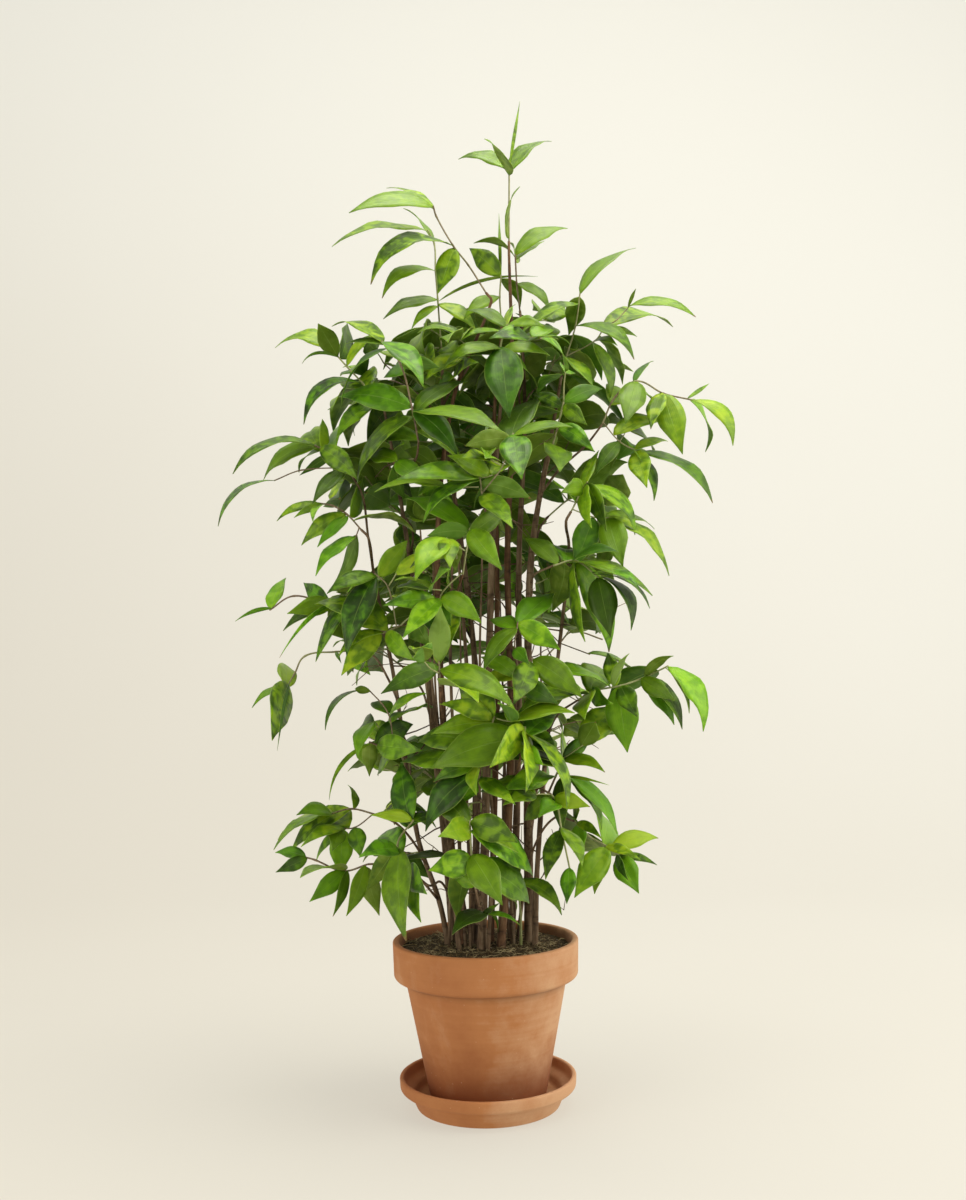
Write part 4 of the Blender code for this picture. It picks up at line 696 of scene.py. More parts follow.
def place_hand_leaf(room, root, row, name, rng):
    """The first of several close variants of a leaf that crosses nothing, or None."""
    _, x, z, width, bow = row
    for own in (True, False):
        for attempt in range(LEAF_TRIES):
            shift = step_aside(attempt, TRY_DEPTH)
            turn = rng.uniform(-TRY_TURN, TRY_TURN) * attempt
            wander = TRY_WANDER * max(0, attempt - TRY_WANDER_FROM)
            dx, dz = rng.uniform(-wander, wander), rng.uniform(-wander, wander)
            slim = 1 - TRY_SLIM * attempt
            leaf = hand_leaf(root, x + dx, z + dz, width, bow, shift, turn, slim)
            if not leaf_crossed(room, leaf, name, own):
                return leaf
    return None


def place_back_leaf(room, root, turn, name, rng):
    """A leaf drawn by rule near this compass turn that crosses nothing, or None."""
    for attempt in range(BACK_TRIES):
        length = rng.uniform(*BACK_LENGTH) * MM
        width = length * rng.uniform(*BACK_WIDTH)
        aside = rng.uniform(-BACK_TURN, BACK_TURN) * (1 + attempt * BACK_TURN_MORE)
        rise = math.radians(rng.uniform(*BACK_RISE))
        arch = rng.uniform(*BACK_ARCH)
        roll = rng.uniform(-BACK_ROLL, BACK_ROLL)
        leaf = back_leaf(root, turn + aside, rise, length, width, arch, roll)
        if in_view(leaf) and not leaf_crossed(room, leaf, name, True):
            return leaf
    return None


# The whole layout

def lay_out_canes(room):
    """Each cane's way and radii, ending under its own top spray."""
    canes = {}
    for row in SPRAYS:
        if row[2] == 0:
            places, _ = spray_knots(row, 0)
            top, top_way = start_of(places)
            canes[row[1]] = cane_way(row[1], top, top_way)
    for index, (way, radii) in canes.items():
        room.add(CANES[index][0], *thick_tube(way, radii))
    return canes


def lay_out_spray(room, canes, twigs, row, places_of, rng):
    """A spray's shoots and its twig in the first place of those tried that crosses nothing."""
    name, index, fork = row[:3]
    cane = CANES[index][0]
    way, _ = canes[index]
    for attempt in range(SPRAY_TRIES):
        places, parents = places_of(row, attempt, rng)
        spray = Spray(name, index, fork, places, parents, shoot_chains(parents), [])
        tubes = [thick_tube(*found) for found in shoot_tubes(spray)]
        if fork:
            if any(room.crossed(*shape) for shape in tubes):
                continue
            twig = clear_twig(room, cane, way, fork, places, tubes, rng)
            if twig is None:
                continue
            twigs[index].append(twig)
            room.add(cane + " twig", *thick_tube(*twig))
        for shape in tubes:
            room.add(name, *shape)
        return spray
    raise ValueError(name + " finds no room")


def front_places(row, attempt, rng):
    """The knots of a front spray, a little nearer or farther with each attempt."""
    return spray_knots(row, step_aside(attempt, SPRAY_STEP) if row[2] else 0)


def back_places(row, attempt, rng):
    """The knots of a back spray, turned a little more with each attempt."""
    _, _, _, turn, reach, height = row
    angle = math.radians(turn + rng.uniform(-SPRAY_TURN, SPRAY_TURN) * attempt)
    out = Vector((math.cos(angle), math.sin(angle), 0))
    across = Vector((-out.y, out.x, 0))
    places = [
        (out * (reach + knot[0]) + across * knot[1] + UP * (height + knot[2])) * MM for knot in BACK_KNOTS
    ]
    return places, [knot[3] for knot in BACK_KNOTS]


def soil_shoot(room):
    """The thin green shoot that comes out of the soil, without leaves yet."""
    foot, *above = [Vector(knot) * MM for knot in SHOOT_KNOTS]
    places = [foot - UP * CANE_DEPTH, foot, foot + UP * CANE_STRAIGHT] + above
    parents = list(range(-1, len(places) - 1))
    spray = Spray("soil_shoot", None, 0, places, parents, shoot_chains(parents), [])
    room.add(spray.name, *thick_tube(places, SHOOT_RADII))
    return spray


def whorl_root(spray, knot, at_knot):
    """Where the next leaf of a knot's whorl grows, each a little below the one before it."""
    count = at_knot.get(knot, 0)
    at_knot[knot] = count + 1
    here = spray.knots[knot]
    if spray.parents[knot] < 0:
        return here + (spray.knots[1] - here).normalized() * WHORL_STEP * (count + 1)
    back = (spray.knots[spray.parents[knot]] - here).normalized()
    return here + back * WHORL_STEP * count


def add_leaf(room, spray, leaf):
    """Gives a spray a leaf, where one was found."""
    if leaf:
        spray.leaves.append(leaf)
        room.add(spray.name + " leaves", *blade(leaf, CLEAR))


def grow_leaves(room, spray, rows, rng):
    """Places the leaves of a front spray, each at its knot."""
    at_knot = {}
    for row in rows:
        root = whorl_root(spray, row[0], at_knot)
        add_leaf(room, spray, place_hand_leaf(room, root, row, spray.name, rng))


def grow_back_leaves(room, spray, rng):
    """Places the leaves of a back spray, in whorls."""
    at_knot = {}
    for i in range(1, len(spray.knots)):
        first = rng.uniform(0, math.tau)
        count = BACK_WHORL if i < BRANCH_FROM else BRANCH_WHORL
        for k in range(count):
            root = whorl_root(spray, i, at_knot)
            turn = first + math.tau * k / count
            add_leaf(room, spray, place_back_leaf(room, root, turn, spray.name, rng))


def grow_fill_leaves(room, spray, below, rng):
    """Adds a leaf behind those that show in front, some steps below each knot of a front spray."""
    at_knot = {i: below for i in range(len(spray.knots))}
    for i in range(len(spray.knots)):
        turn = rng.uniform(0, math.pi)
        root = whorl_root(spray, i, at_knot)
        add_leaf(room, spray, place_back_leaf(room, root, turn, spray.name, rng))


def keep_off_pot(room):
    """The saucer, the pot's outside and the soil as plain shapes that leaves keep clear of."""
    off = 3 * MM
    wide = POT_RADIUS + off
    heights = (0.0, SAUCER_HEIGHT + off, POT_TOP - POT_SHOULDER, POT_TOP - POT_BAND, POT_TOP + off)
    way = [UP * z for z in heights]
    points, faces = tube(way, [wide - off, wide - off, wide, wide, wide], ROUND_STEPS)
    room.add("pot", points, faces[:-1])
    level = POT_TOP - SOIL_DROP + off
    corners = [Vector((x, y, level)) for x, y in ((-wide, -wide), (wide, -wide), (wide, wide), (-wide, wide))]
    room.add("soil", corners, [(0, 1, 2, 3)])


def lay_out():
    """The canes, their twigs and all sprays with their leaves."""
    rng = random.Random(SEED)
    room = Room()
    canes = lay_out_canes(room)
    twigs = {index: [] for index in canes}
    sprays = {}
    shoot = soil_shoot(room)
    for row in sorted(SPRAYS, key=lambda row: row[2] > 0):
        sprays[row[0]] = lay_out_spray(room, canes, twigs, row, front_places, rng)
    for row in BACK_SPRAYS:
        sprays[row[0]] = lay_out_spray(room, canes, twigs, row, back_places, rng)
    keep_off_pot(room)
    for row in SPRAYS:
        grow_leaves(room, sprays[row[0]], row[5], rng)
    for row in SPRAYS:
        if row[0].split("_")[0] not in UNFILLED_SPRAYS:
            grow_fill_leaves(room, sprays[row[0]], FILL_FROM, rng)
    last = len(shoot.knots) - 1
    grow_leaves(room, shoot, [(last,) + leaf for leaf in SHOOT_LEAVES], rng)
    for row in BACK_SPRAYS:
        grow_back_leaves(room, sprays[row[0]], rng)
    for name in DENSE_SPRAYS:
        grow_fill_leaves(room, sprays[name], FILL_FROM + 1, rng)
    return canes, twigs, [*sprays.values(), shoot], room


def pot_inner_radius(height):
    """The radius of the pot's inside wall at a height."""
    shoulder = POT_TOP - POT_SHOULDER
    if height >= shoulder:
        share = (height - shoulder) / POT_SHOULDER
        low = POT_SHOULDER_RADIUS - POT_WALL
        return low + (POT_RADIUS - POT_WALL - low) * share
    share = (height - POT_BASE) / (shoulder - POT_BASE)
    return POT_FOOT_RADIUS + (POT_SHOULDER_RADIUS - POT_FOOT_RADIUS) * share - POT_WALL


PLANT_CANES, PLANT_TWIGS, PLANT_SPRAYS, ROOM = lay_out()


# The work of the hand tools

def start_fresh():
    """Leaves edit mode and deselects everything."""
    if bpy.context.mode != "OBJECT":
        bpy.ops.object.mode_set(mode="OBJECT")
    bpy.ops.object.select_all(action="DESELECT")


def take(*objects):
    """Makes these the only selected objects, the first of them the active one."""
    start_fresh()
    for obj in objects:
        obj.select_set(True)
    bpy.context.view_layer.objects.active = objects[0]


def open_up(obj):
    """Takes an object into edit mode with nothing selected."""
    take(obj)
    bpy.ops.object.mode_set(mode="EDIT")
    bpy.ops.mesh.select_mode(type="VERT")
    bpy.ops.mesh.select_all(action="DESELECT")


def pick_points(obj, test, kind="VERT"):
    """Selects the points whose place passes a test, and the edges or faces between them."""
    bpy.ops.mesh.select_mode(type="VERT")
    bpy.ops.mesh.select_all(action="DESELECT")
    shape = bmesh.from_edit_mesh(obj.data)
    for vert in shape.verts:
        vert.select = test(vert.co)
    shape.select_flush(True)
    bmesh.update_edit_mesh(obj.data)
    if kind != "VERT":
        bpy.ops.mesh.select_mode(type=kind)


def face_outwards(obj):
    """Merges doubled points and turns every face outwards."""
    open_up(obj)
    bpy.ops.mesh.select_all(action="SELECT")
    bpy.ops.mesh.remove_doubles(threshold=0.00001)
    bpy.ops.mesh.normals_make_consistent(inside=False)
    bpy.ops.object.mode_set(mode="OBJECT")


def settle(obj):
    """Puts an object's place, turn and size into its mesh."""
    take(obj)
    bpy.ops.object.transform_apply(location=True, rotation=True, scale=True)


def joined(objects, name):
    """One object made of several."""
    take(*objects)
    if len(objects) > 1:
        bpy.ops.object.join()
    obj = bpy.context.view_layer.objects.active
    obj.name = name
    obj.data.name = name
    return obj


def copy_of(pattern, name):
    """A copy of a pattern with its own mesh."""
    obj = bpy.data.objects.new(name, pattern.data.copy())
    bpy.context.scene.collection.objects.link(obj)
    return obj


def discard(*objects):
    """Removes patterns that are no longer needed."""
    for obj in objects:
        bpy.data.objects.remove(obj, do_unlink=True)


def finish_piece(obj, slot, *nodes):
    """Hands a finished piece to the frame, in place of the CAD nodes that it details."""
    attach(obj, BODY)
    if nodes:
        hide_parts(*nodes)


def thrown_ring(name, corners, sides):
    """A round clay body, drawn up ring by ring: corners are (radius, height, rounding)."""
    start_fresh()
    radius, height, _ = corners[0]
    bpy.ops.mesh.primitive_circle_add(vertices=sides, radius=radius, location=(0, 0, height))
    obj = bpy.context.object
    obj.name = obj.data.name = name
    settle(obj)
    open_up(obj)
    bpy.ops.mesh.select_all(action="SELECT")
    for far, high, _ in corners[1:]:
        bpy.ops.mesh.extrude_region_move(TRANSFORM_OT_translate={"value": (0, 0, high - height)})
        share = far / radius
        bpy.ops.transform.resize(value=(share, share, 1), center_override=(0, 0, high))
        radius, height = far, high
    return obj


def round_off(obj, corners, steps):
    """Rounds the rings of a thrown body that have a rounding."""
    for radius, height, rounding in corners:
        if not rounding:
            continue
        pick_points(
            obj,
            lambda co: abs(co.z - height) < ON_RING and abs(math.hypot(co.x, co.y) - radius) < ON_RING,
            "EDGE",
        )
        bpy.ops.mesh.bevel(offset=rounding, segments=steps, profile=0.5, affect="EDGES")


def close_ends(bridge):
    """Joins the two open ends of a thrown body, or fills each with a fan of faces."""
    bpy.ops.mesh.select_mode(type="EDGE")
    bpy.ops.mesh.select_all(action="DESELECT")
    bpy.ops.mesh.select_non_manifold()
    if bridge:
        bpy.ops.mesh.bridge_edge_loops()
    else:
        bpy.ops.mesh.edge_face_add()


# Materials

class Wire:
    """A socket of a material. Arithmetic on it adds Math nodes."""

    def __init__(self, paint, socket):
        self.paint = paint
        self.socket = socket

    def math(self, operation, *values):
        """A Math node on these values."""
        return self.paint.node("ShaderNodeMath", {"operation": operation}, dict(enumerate(values)))

    def __add__(self, other):
        return self.math("ADD", self, other)

    def __radd__(self, other):
        return self.math("ADD", other, self)

    def __sub__(self, other):
        return self.math("SUBTRACT", self, other)

    def __rsub__(self, other):
        return self.math("SUBTRACT", other, self)

    def __mul__(self, other):
        return self.math("MULTIPLY", self, other)

    def __rmul__(self, other):
        return self.math("MULTIPLY", other, self)

    def __truediv__(self, other):
        return self.math("DIVIDE", self, other)

    def __pow__(self, other):
        return self.math("POWER", self, other)

    def __abs__(self):
        return self.math("ABSOLUTE", self)

    def __gt__(self, other):
        return self.math("GREATER_THAN", self, other)

    def sine(self):
        """The sine of a value."""
        return self.math("SINE", self)

    def most(self, other):
        """The larger of two values."""
        return self.math("MAXIMUM", self, other)

    def spread(self, low, high):
        """0 up to low, 1 from high on, and smooth between."""
        values = {0: self, 1: low, 2: high, 3: 0.0, 4: 1.0}
        return self.paint.node("ShaderNodeMapRange", {"interpolation_type": "SMOOTHSTEP"}, values)


class Paint:
    """A material being mixed."""

    def __init__(self, name, roughness, **finish):
        self.material = bpy.data.materials.new(name)
        self.material.use_nodes = True
        self.tree = self.material.node_tree
        self.shader = self.tree.nodes["Principled BSDF"]
        self.shader.inputs["Roughness"].default_value = roughness
        for socket, value in finish.items():
            self.shader.inputs[socket.replace("_", " ").title().replace("Ior", "IOR")].default_value = value

    def node(self, kind, settings=None, values=None, out=0):
        """Adds a node: its settings first, then the values and links of its sockets."""
        made = self.tree.nodes.new(kind)
        for key, value in (settings or {}).items():
            if key == "stops":
                while len(made.color_ramp.elements) < len(value):
                    made.color_ramp.elements.new(0.5)
                for element, (place, colour) in zip(made.color_ramp.elements, value):
                    element.position = place
                    element.color = (*colour, 1)
            else:
                setattr(made, key, value)
        for key, value in (values or {}).items():
            if isinstance(value, Wire):
                self.tree.links.new(value.socket, made.inputs[key])
            else:
                made.inputs[key].default_value = value
        return Wire(self, made.outputs[out])

    def place(self):
        """The place of a point in the object's frame, in metres."""
        return self.node("ShaderNodeTexCoord", out="Object")

    def parts(self, vector):
        """The three parts of a vector."""
        split = self.node("ShaderNodeSeparateXYZ", None, {0: vector}).socket.node
        return [Wire(self, split.outputs[k]) for k in range(3)]

    def stretched(self, vector, x, y, z):
        """A place scaled on each axis."""
        return self.node("ShaderNodeVectorMath", {"operation": "MULTIPLY"}, {0: vector, 1: (x, y, z)})

    def cloud(self, vector, scale, detail=2.0, roughness=0.5, distortion=0.0):
        """Noise between 0 and 1."""
        values = {"Vector": vector, "Scale": scale, "Detail": detail}
        values.update({"Roughness": roughness, "Distortion": distortion})
        return self.node("ShaderNodeTexNoise", None, values)

    def specks(self, vector, scale, out="Distance"):
        """Cells: the distance from the middle of the nearest one, or its own random colour."""
        return self.node("ShaderNodeTexVoronoi", None, {"Vector": vector, "Scale": scale}, out)

    def mark(self, name):
        """A number that the mesh carries at each point."""
        return self.node("ShaderNodeAttribute", {"attribute_name": name}, out="Fac")

    def ramp(self, value, *stops):
        """A colour for each value."""
        return self.node("ShaderNodeValToRGB", {"stops": stops}, {0: value})

    def mix(self, share, first, second, way="MIX"):
        """Two colours mixed."""
        first, second = [c if isinstance(c, Wire) else (*c, 1) for c in (first, second)]
        settings = {"data_type": "RGBA", "blend_type": way}
        return self.node("ShaderNodeMix", settings, {0: share, 6: first, 7: second}, out=2)

    def finish(self, colour, height=None, depth=0.0002, strength=1.0, roughness=None):
        """Gives the surface its colour, its relief and its gloss."""
        self.tree.links.new(colour.socket, self.shader.inputs["Base Color"])
        if roughness is not None:
            self.tree.links.new(roughness.socket, self.shader.inputs["Roughness"])
        if height is not None:
            values = {"Strength": strength, "Distance": depth, "Height": height}
            relief = self.node("ShaderNodeBump", None, values)
            self.tree.links.new(relief.socket, self.shader.inputs["Normal"])
        return self.material


def clay_look(name, clay, damp_shaded_foot):
    """Unglazed fired clay: soft mottling, sandy grain, faint turning lines and a little lime, with the side
    towards the key light painted paler; on the pot also a damp foot deepened by painted shade, and painted
    shade with soil stain on the inside wall above the soil.
    """
    paint = Paint(name, 0.86, specular_ior_level=0.3)
    place = paint.place()
    across, back, height = paint.parts(place)
    patches = paint.cloud(place, 9.0, 3.0, 0.55)
    blotches = paint.cloud(place, 30.0, 4.0, 0.6)
    grain = paint.cloud(place, 900.0, 2.0, 0.6)
    turning = paint.cloud(paint.stretched(place, 4.0, 4.0, 260.0), 1.0, 2.0)
    # Painted light: the side towards the key light, at +x, is pushed towards the pale clay, whose colour
    # serves both real pale patches and this painted light
    shade = patches * 0.5 + blotches * 0.38 + turning * 0.12 + across.most(-0.03) * clay.painted_light_side
    colour = paint.ramp(shade, (0.3, clay.dark), (0.5, clay.colour), (0.7, clay.pale))
    lime = paint.cloud(paint.stretched(place, 1.0, 1.0, 0.5), 24.0, 5.0, 0.65).spread(0.56, 0.78)
    colour = paint.mix(lime * 0.22, colour, clay.lime)
    if damp_shaded_foot:
        # Damp clay and painted shade: the foot of the pot, where it stands in the saucer, is darkened
        damp_and_shade = 1 - (height + (blotches - 0.5) * 0.045).spread(0.022, 0.095)
        colour = paint.mix(damp_and_shade * 0.85, colour, clay.damp_and_shade)
        # Painted shade and soil stain: the inside wall of the pot above the soil is darkened
        out = (across * across + back * back) ** 0.5 + (blotches - 0.5) * 0.004
        inner_shade_and_stain = (1 - out.spread(0.0962, 0.0992)) * height.spread(0.13, 0.15)
        colour = paint.mix(inner_shade_and_stain * 0.8, colour, clay.inner_shade_and_stain)
    sand = paint.specks(place, 420.0)
    pick = paint.parts(paint.specks(place, 420.0, "Color"))[0]
    dots = (pick > 0.985) * (1 - sand.spread(0.12, 0.3))
    colour = paint.mix(dots * 0.55, colour, clay.lime)
    colour = paint.mix((grain - 0.5) * 0.35 + 0.18, colour, clay.dark)
    relief = grain * 0.6 + blotches * 0.8 + turning * 0.22
    return paint.finish(colour, relief, 0.0004, 0.45)


def soil_look(soil):
    """Dark potting soil with paler fibres in it."""
    paint = Paint("potting soil", 0.95, specular_ior_level=0.2)
    place = paint.place()
    clods = paint.cloud(place, 210.0, 4.0, 0.65)
    along = paint.cloud(paint.stretched(place, 0.25, 1.0, 1.0), 520.0, 3.0, 0.7, 1.2)
    aslant = paint.cloud(paint.stretched(place, 1.0, 0.25, 1.0), 520.0, 3.0, 0.7, 1.2)
    fibres = along.most(aslant)
    shade = clods * 0.5 + fibres * 0.5
    colour = paint.ramp(shade, (0.4, soil.dark), (0.54, soil.colour), (0.68, soil.pale))
    return paint.finish(colour, clods + fibres * 0.8, 0.0024, 1.0)


def plain_look(name, dark, pale, scale, roughness):
    """A small thing of one material with a soft change of shade."""
    paint = Paint(name, roughness, specular_ior_level=0.25)
    place = paint.place()
    shade = paint.cloud(place, scale, 3.0, 0.6)
    colour = paint.ramp(shade, (0.35, dark), (0.65, pale))
    return paint.finish(colour, shade, 0.0003, 0.7)


def bark_look(name, dark, middle, pale):
    """Streaky bark: fissures up the cane, paler ridges, rings of old leaf scars and flaking patches."""
    paint = Paint(name, 0.82, specular_ior_level=0.25)
    place = paint.place()
    streaks = paint.cloud(paint.stretched(place, 1.0, 1.0, 0.09), 360.0, 3.0, 0.55)
    ridges = paint.cloud(paint.stretched(place, 1.0, 1.0, 0.16), 170.0, 3.0, 0.55)
    rings = paint.cloud(paint.stretched(place, 0.25, 0.25, 1.0), 150.0, 2.0, 0.5, 0.4)
    patches = paint.cloud(paint.stretched(place, 1.0, 1.0, 0.35), 42.0, 3.0, 0.6)
    shade = streaks * 0.3 + ridges * 0.3 + rings * 0.1 + patches * 0.3
    colour = paint.ramp(shade, (0.37, dark), (0.5, middle), (0.66, pale))
    scars = 1 - rings.spread(0.33, 0.4)
    colour = paint.mix(scars * 0.5, colour, dark)
    relief = streaks * 0.7 + ridges * 0.8 + rings * 0.4
    return paint.finish(colour, relief, 0.0011, 0.85)


def shoot_look(wood):
    """Young wood and green shoots: pale tan going green where the mesh says that it is young."""
    paint = Paint("young shoots", 0.6, specular_ior_level=0.35)
    place = paint.place()
    streaks = paint.cloud(paint.stretched(place, 1.0, 1.0, 0.3), 500.0, 3.0, 0.6)
    patches = paint.cloud(place, 40.0, 2.0)
    woody = paint.ramp(streaks, (0.36, wood.twig_dark), (0.64, wood.twig))
    fresh = paint.ramp(streaks * 0.5 + patches * 0.5, (0.4, wood.shoot_dark), (0.62, wood.shoot))
    young = (paint.mark("young") + (patches - 0.5) * 0.5).spread(0.25, 0.75)
    return paint.finish(paint.mix(young, woody, fresh), streaks, 0.0004, 0.6)


def leaf_look(leaf, under):
    """A leaf's face or underside: blurred gold marbling, a faint midrib, veins along it, and a painted
    highlight along its thin edge.
    """
    paint = Paint(
        "leaf underside" if under else "leaf face",
        0.5,
        specular_ior_level=0.18 if under else 0.36,
        specular_tint=(1.0, 1.0, 0.7, 1.0),
        subsurface_weight=leaf.glow,
        subsurface_radius=(0.7, 1.0, 0.15),
        subsurface_scale=0.0012,
    )
    place = paint.place()
    across, along, _ = paint.parts(paint.node("ShaderNodeUVMap", {"uv_map": "UVMap"}))
    side = abs(across - 0.5) * 2
    tone = paint.mark("tone")
    dry = paint.mark("dry")
    gold = paint.mark("gold")
    cool = paint.mark("cool")
    marbling = paint.cloud(place, 80.0, 2.0, 0.5, 0.5).spread(0.33, 0.66)
    mottle = paint.cloud(place, 150.0, 3.0, 0.6, 0.3)
    veins = (across * (math.tau * 15)).sine()
    rib = 1 - (side / (0.06 - along * 0.04)).spread(0.25, 1.0)
    shade = tone + (marbling - 0.5) * gold * leaf.marbling + (mottle - 0.5) * 0.16 + (0.4 - along) * 0.12
    shade = shade + veins * 0.01 - side * 0.05
    if under:
        colour = paint.ramp(shade, (0.1, leaf.under_dark), (0.5, leaf.under), (0.95, leaf.under_pale))
    else:
        colour = paint.ramp(
            shade, (0.05, leaf.deep), (0.32, leaf.dark), (0.58, leaf.middle), (0.92, leaf.bright)
        )
    colour = paint.mix(cool.spread(0.35, 1.0), colour, leaf.cool, "MULTIPLY")
    colour = paint.mix(rib * (0.5 if under else 0.3), colour, leaf.rib)
    # Painted highlight: a thin pale line where light catches the edge of the leaf
    colour = paint.mix(side.spread(0.93, 1.0) * 0.5, colour, leaf.edge_highlight)
    ends = (along + (mottle - 0.5) * 0.1).spread(0.95, 0.99) * dry.spread(0.2, 0.5)
    colour = paint.mix(ends, colour, leaf.dry)
    relief = veins * 0.08 + rib * (0.9 if under else -0.9) + marbling * 0.25
    gloss = (0.5 if under else 0.36) + mottle * 0.14
    return paint.finish(colour, relief, 0.0005, 0.5, gloss)


def stage_look(stage):
    """A seamless paper backdrop that glows with its own colour to lift its shadows, though it is no lamp,
    with painted shade that makes it a little darker to the left and at the foot.
    """
    paint = Paint("paper backdrop", 0.9, specular_ior_level=0.1, emission_strength=stage.lift)
    place = paint.place()
    x, _, z = paint.parts(place)
    weave = paint.cloud(place, 1.1, 2.0)
    # Painted shade: darker to the left and towards the foot
    shade = (x * 0.16 + z * 0.3 + 0.3 + (weave - 0.5) * 0.12).spread(0.0, 1.0)
    colour = paint.ramp(shade, (0.0, stage.shade), (1.0, stage.colour))
    # The paper glows with its own colour, though it is no lamp
    paint.tree.links.new(colour.socket, paint.shader.inputs["Emission Color"])
    return paint.finish(colour, paint.cloud(place, 300.0, 2.0), 0.0001, 0.1)


# The clay and the soil

# Corners of the thrown bodies, each (radius, height, rounding)
POT_CORNERS = (
    (POT_HOLE_RADIUS, POT_BASE, 0), (POT_FOOT_RADIUS, POT_BASE, 2.2 * MM),
    (POT_SHOULDER_RADIUS, POT_TOP - POT_SHOULDER, 2.5 * MM), (103.9 * MM, 144.8 * MM, 3.2 * MM),
    (POT_RADIUS, POT_TOP, 2.4 * MM), (POT_RADIUS - POT_WALL, POT_TOP, 2.2 * MM),
    (pot_inner_radius(POT_TOP - POT_SHOULDER), POT_TOP - POT_SHOULDER, 2 * MM),
    (pot_inner_radius(POT_BASE + POT_FLOOR), POT_BASE + POT_FLOOR, 2.5 * MM),
    (POT_HOLE_RADIUS, POT_BASE + POT_FLOOR, 0),
)
SAUCER_CORNERS = (
    (20 * MM, 0, 0), (SAUCER_FOOT_RADIUS, 0, 2 * MM), (SAUCER_NECK_RADIUS, 18.6 * MM, 1.2 * MM),
    (98.7 * MM, 20.4 * MM, 3.4 * MM), (SAUCER_RADIUS, SAUCER_HEIGHT, 2.2 * MM),
    (SAUCER_INNER_RADIUS, SAUCER_HEIGHT, 1.8 * MM), (92.9 * MM, 23.4 * MM, 3 * MM),
    (83 * MM, 19.0 * MM, 3 * MM), (SAUCER_WELL_RADIUS - 0.6 * MM, SAUCER_FLOOR, 3 * MM),
    (20 * MM, SAUCER_FLOOR, 0),
)
# The points of a ring lie within this of its radius and height
ON_RING = 2e-5
# Where faces meet at more than these angles, the edge stays sharp
SHARP_CLAY = math.radians(40)
SHARP_SOIL = math.radians(60)
# The soil's body: flat sides round it and rings between its edge and its middle
SOIL_SIDES = 120
SOIL_RINGS = 32
# Lumps of the soil: how wide and how high they are, in millimetres
SOIL_LUMPS = ((17, 1.3), (7, 0.9), (3.1, 0.5))
# Loose bits on the soil: how near to the wall and to the middle of a cane they lie, and their forms
BITS_OFF_WALL = 3.5 * MM
BITS_OFF_CANE = 0.9
CRUMB_FORM = (1, 0.8, 0.62)
CRUMB_ROUGHNESS = (0.75, 1.2)
CRUMB_SIZES = (1.2, 4.6)
GRIT_SIZES = (0.9, 2.0)
BIT_TILT = 0.5
FIBRE_RADIUS = 0.022
FIBRE_CUTS = (-0.3, -0.1, 0.1, 0.3)
FIBRE_ABOVE = (0.4, 1.6)
FIBRE_TILT = 0.25
FIBRE_SIZES = ((8, 20), (11, 21), (11, 21))


def soil_level(x, y):
    """The height of the soil's surface, dished towards the wall and lumpy."""
    out = math.hypot(x, y) / pot_inner_radius(POT_TOP - SOIL_DROP)
    level = POT_TOP - SOIL_DROP - SOIL_DISH * out ** 3
    place = Vector((x, y, 0)) / MM
    lumps = sum(noise.noise(place / wide) * high for wide, high in SOIL_LUMPS)
    return level + (lumps + 0.5) * MM * (1 - 0.5 * out ** 6)


def soil_body():
    """The soil that fills the pot, from the floor up to its lumpy surface."""
    top = POT_TOP - SOIL_DROP
    wide = pot_inner_radius(top) - SOIL_SLACK
    floor = POT_BASE + POT_FLOOR + GAP
    low = pot_inner_radius(floor) - POT_FLOOR_CURVE - SOIL_SLACK
    shoulder = POT_TOP - POT_SHOULDER
    edge = top - SOIL_DISH
    corners = [(10 * MM, floor, 0), (low, floor, 0)]
    corners += [(pot_inner_radius(shoulder) - SOIL_SLACK, shoulder, 0), (wide, edge, 0)]
    corners += [(wide * (1 - k / SOIL_RINGS), edge + 1e-5 * k, 0) for k in range(1, SOIL_RINGS)]
    body = thrown_ring("potting_soil", corners, SOIL_SIDES)
    close_ends(False)
    face_outwards(body)
    for vert in body.data.vertices:
        inside = math.hypot(vert.co.x, vert.co.y) < wide - ON_RING / 2
        if inside and vert.co.z > shoulder + 5 * MM:
            vert.co.z = soil_level(vert.co.x, vert.co.y)
    take(body)
    bpy.ops.object.shade_smooth_by_angle(angle=SHARP_SOIL)
    return body


def scattered(pattern, count, name, rng, lay):
    """Copies of a small pattern laid over the soil, as one object."""
    made = []
    canes = [(Vector(knots[0]).xy * MM, radius * MM) for _, radius, knots in CANES]
    reach = pot_inner_radius(POT_TOP - SOIL_DROP) - BITS_OFF_WALL
    while len(made) < count:
        turn, out = rng.uniform(0, math.tau), reach * math.sqrt(rng.random())
        flat = Vector((math.cos(turn), math.sin(turn))) * out
        if any((flat - foot).length < radius * BITS_OFF_CANE for foot, radius in canes):
            continue
        obj = copy_of(pattern, name)
        spot = Vector((flat.x, flat.y, soil_level(flat.x, flat.y)))
        obj.data.transform(lay(spot, rng))
        made.append(obj)
    obj = joined(made, name)
    bpy.ops.object.shade_smooth()
    return obj


def crumb_pattern(rng):
    """One rough lump, a unit across."""
    start_fresh()
    bpy.ops.mesh.primitive_ico_sphere_add(subdivisions=1, radius=0.5)
    crumb = bpy.context.object
    open_up(crumb)
    bpy.ops.mesh.select_all(action="SELECT")
    bpy.ops.transform.resize(value=CRUMB_FORM)
    bpy.ops.object.mode_set(mode="OBJECT")
    for vert in crumb.data.vertices:
        vert.co *= rng.uniform(*CRUMB_ROUGHNESS)
    return crumb


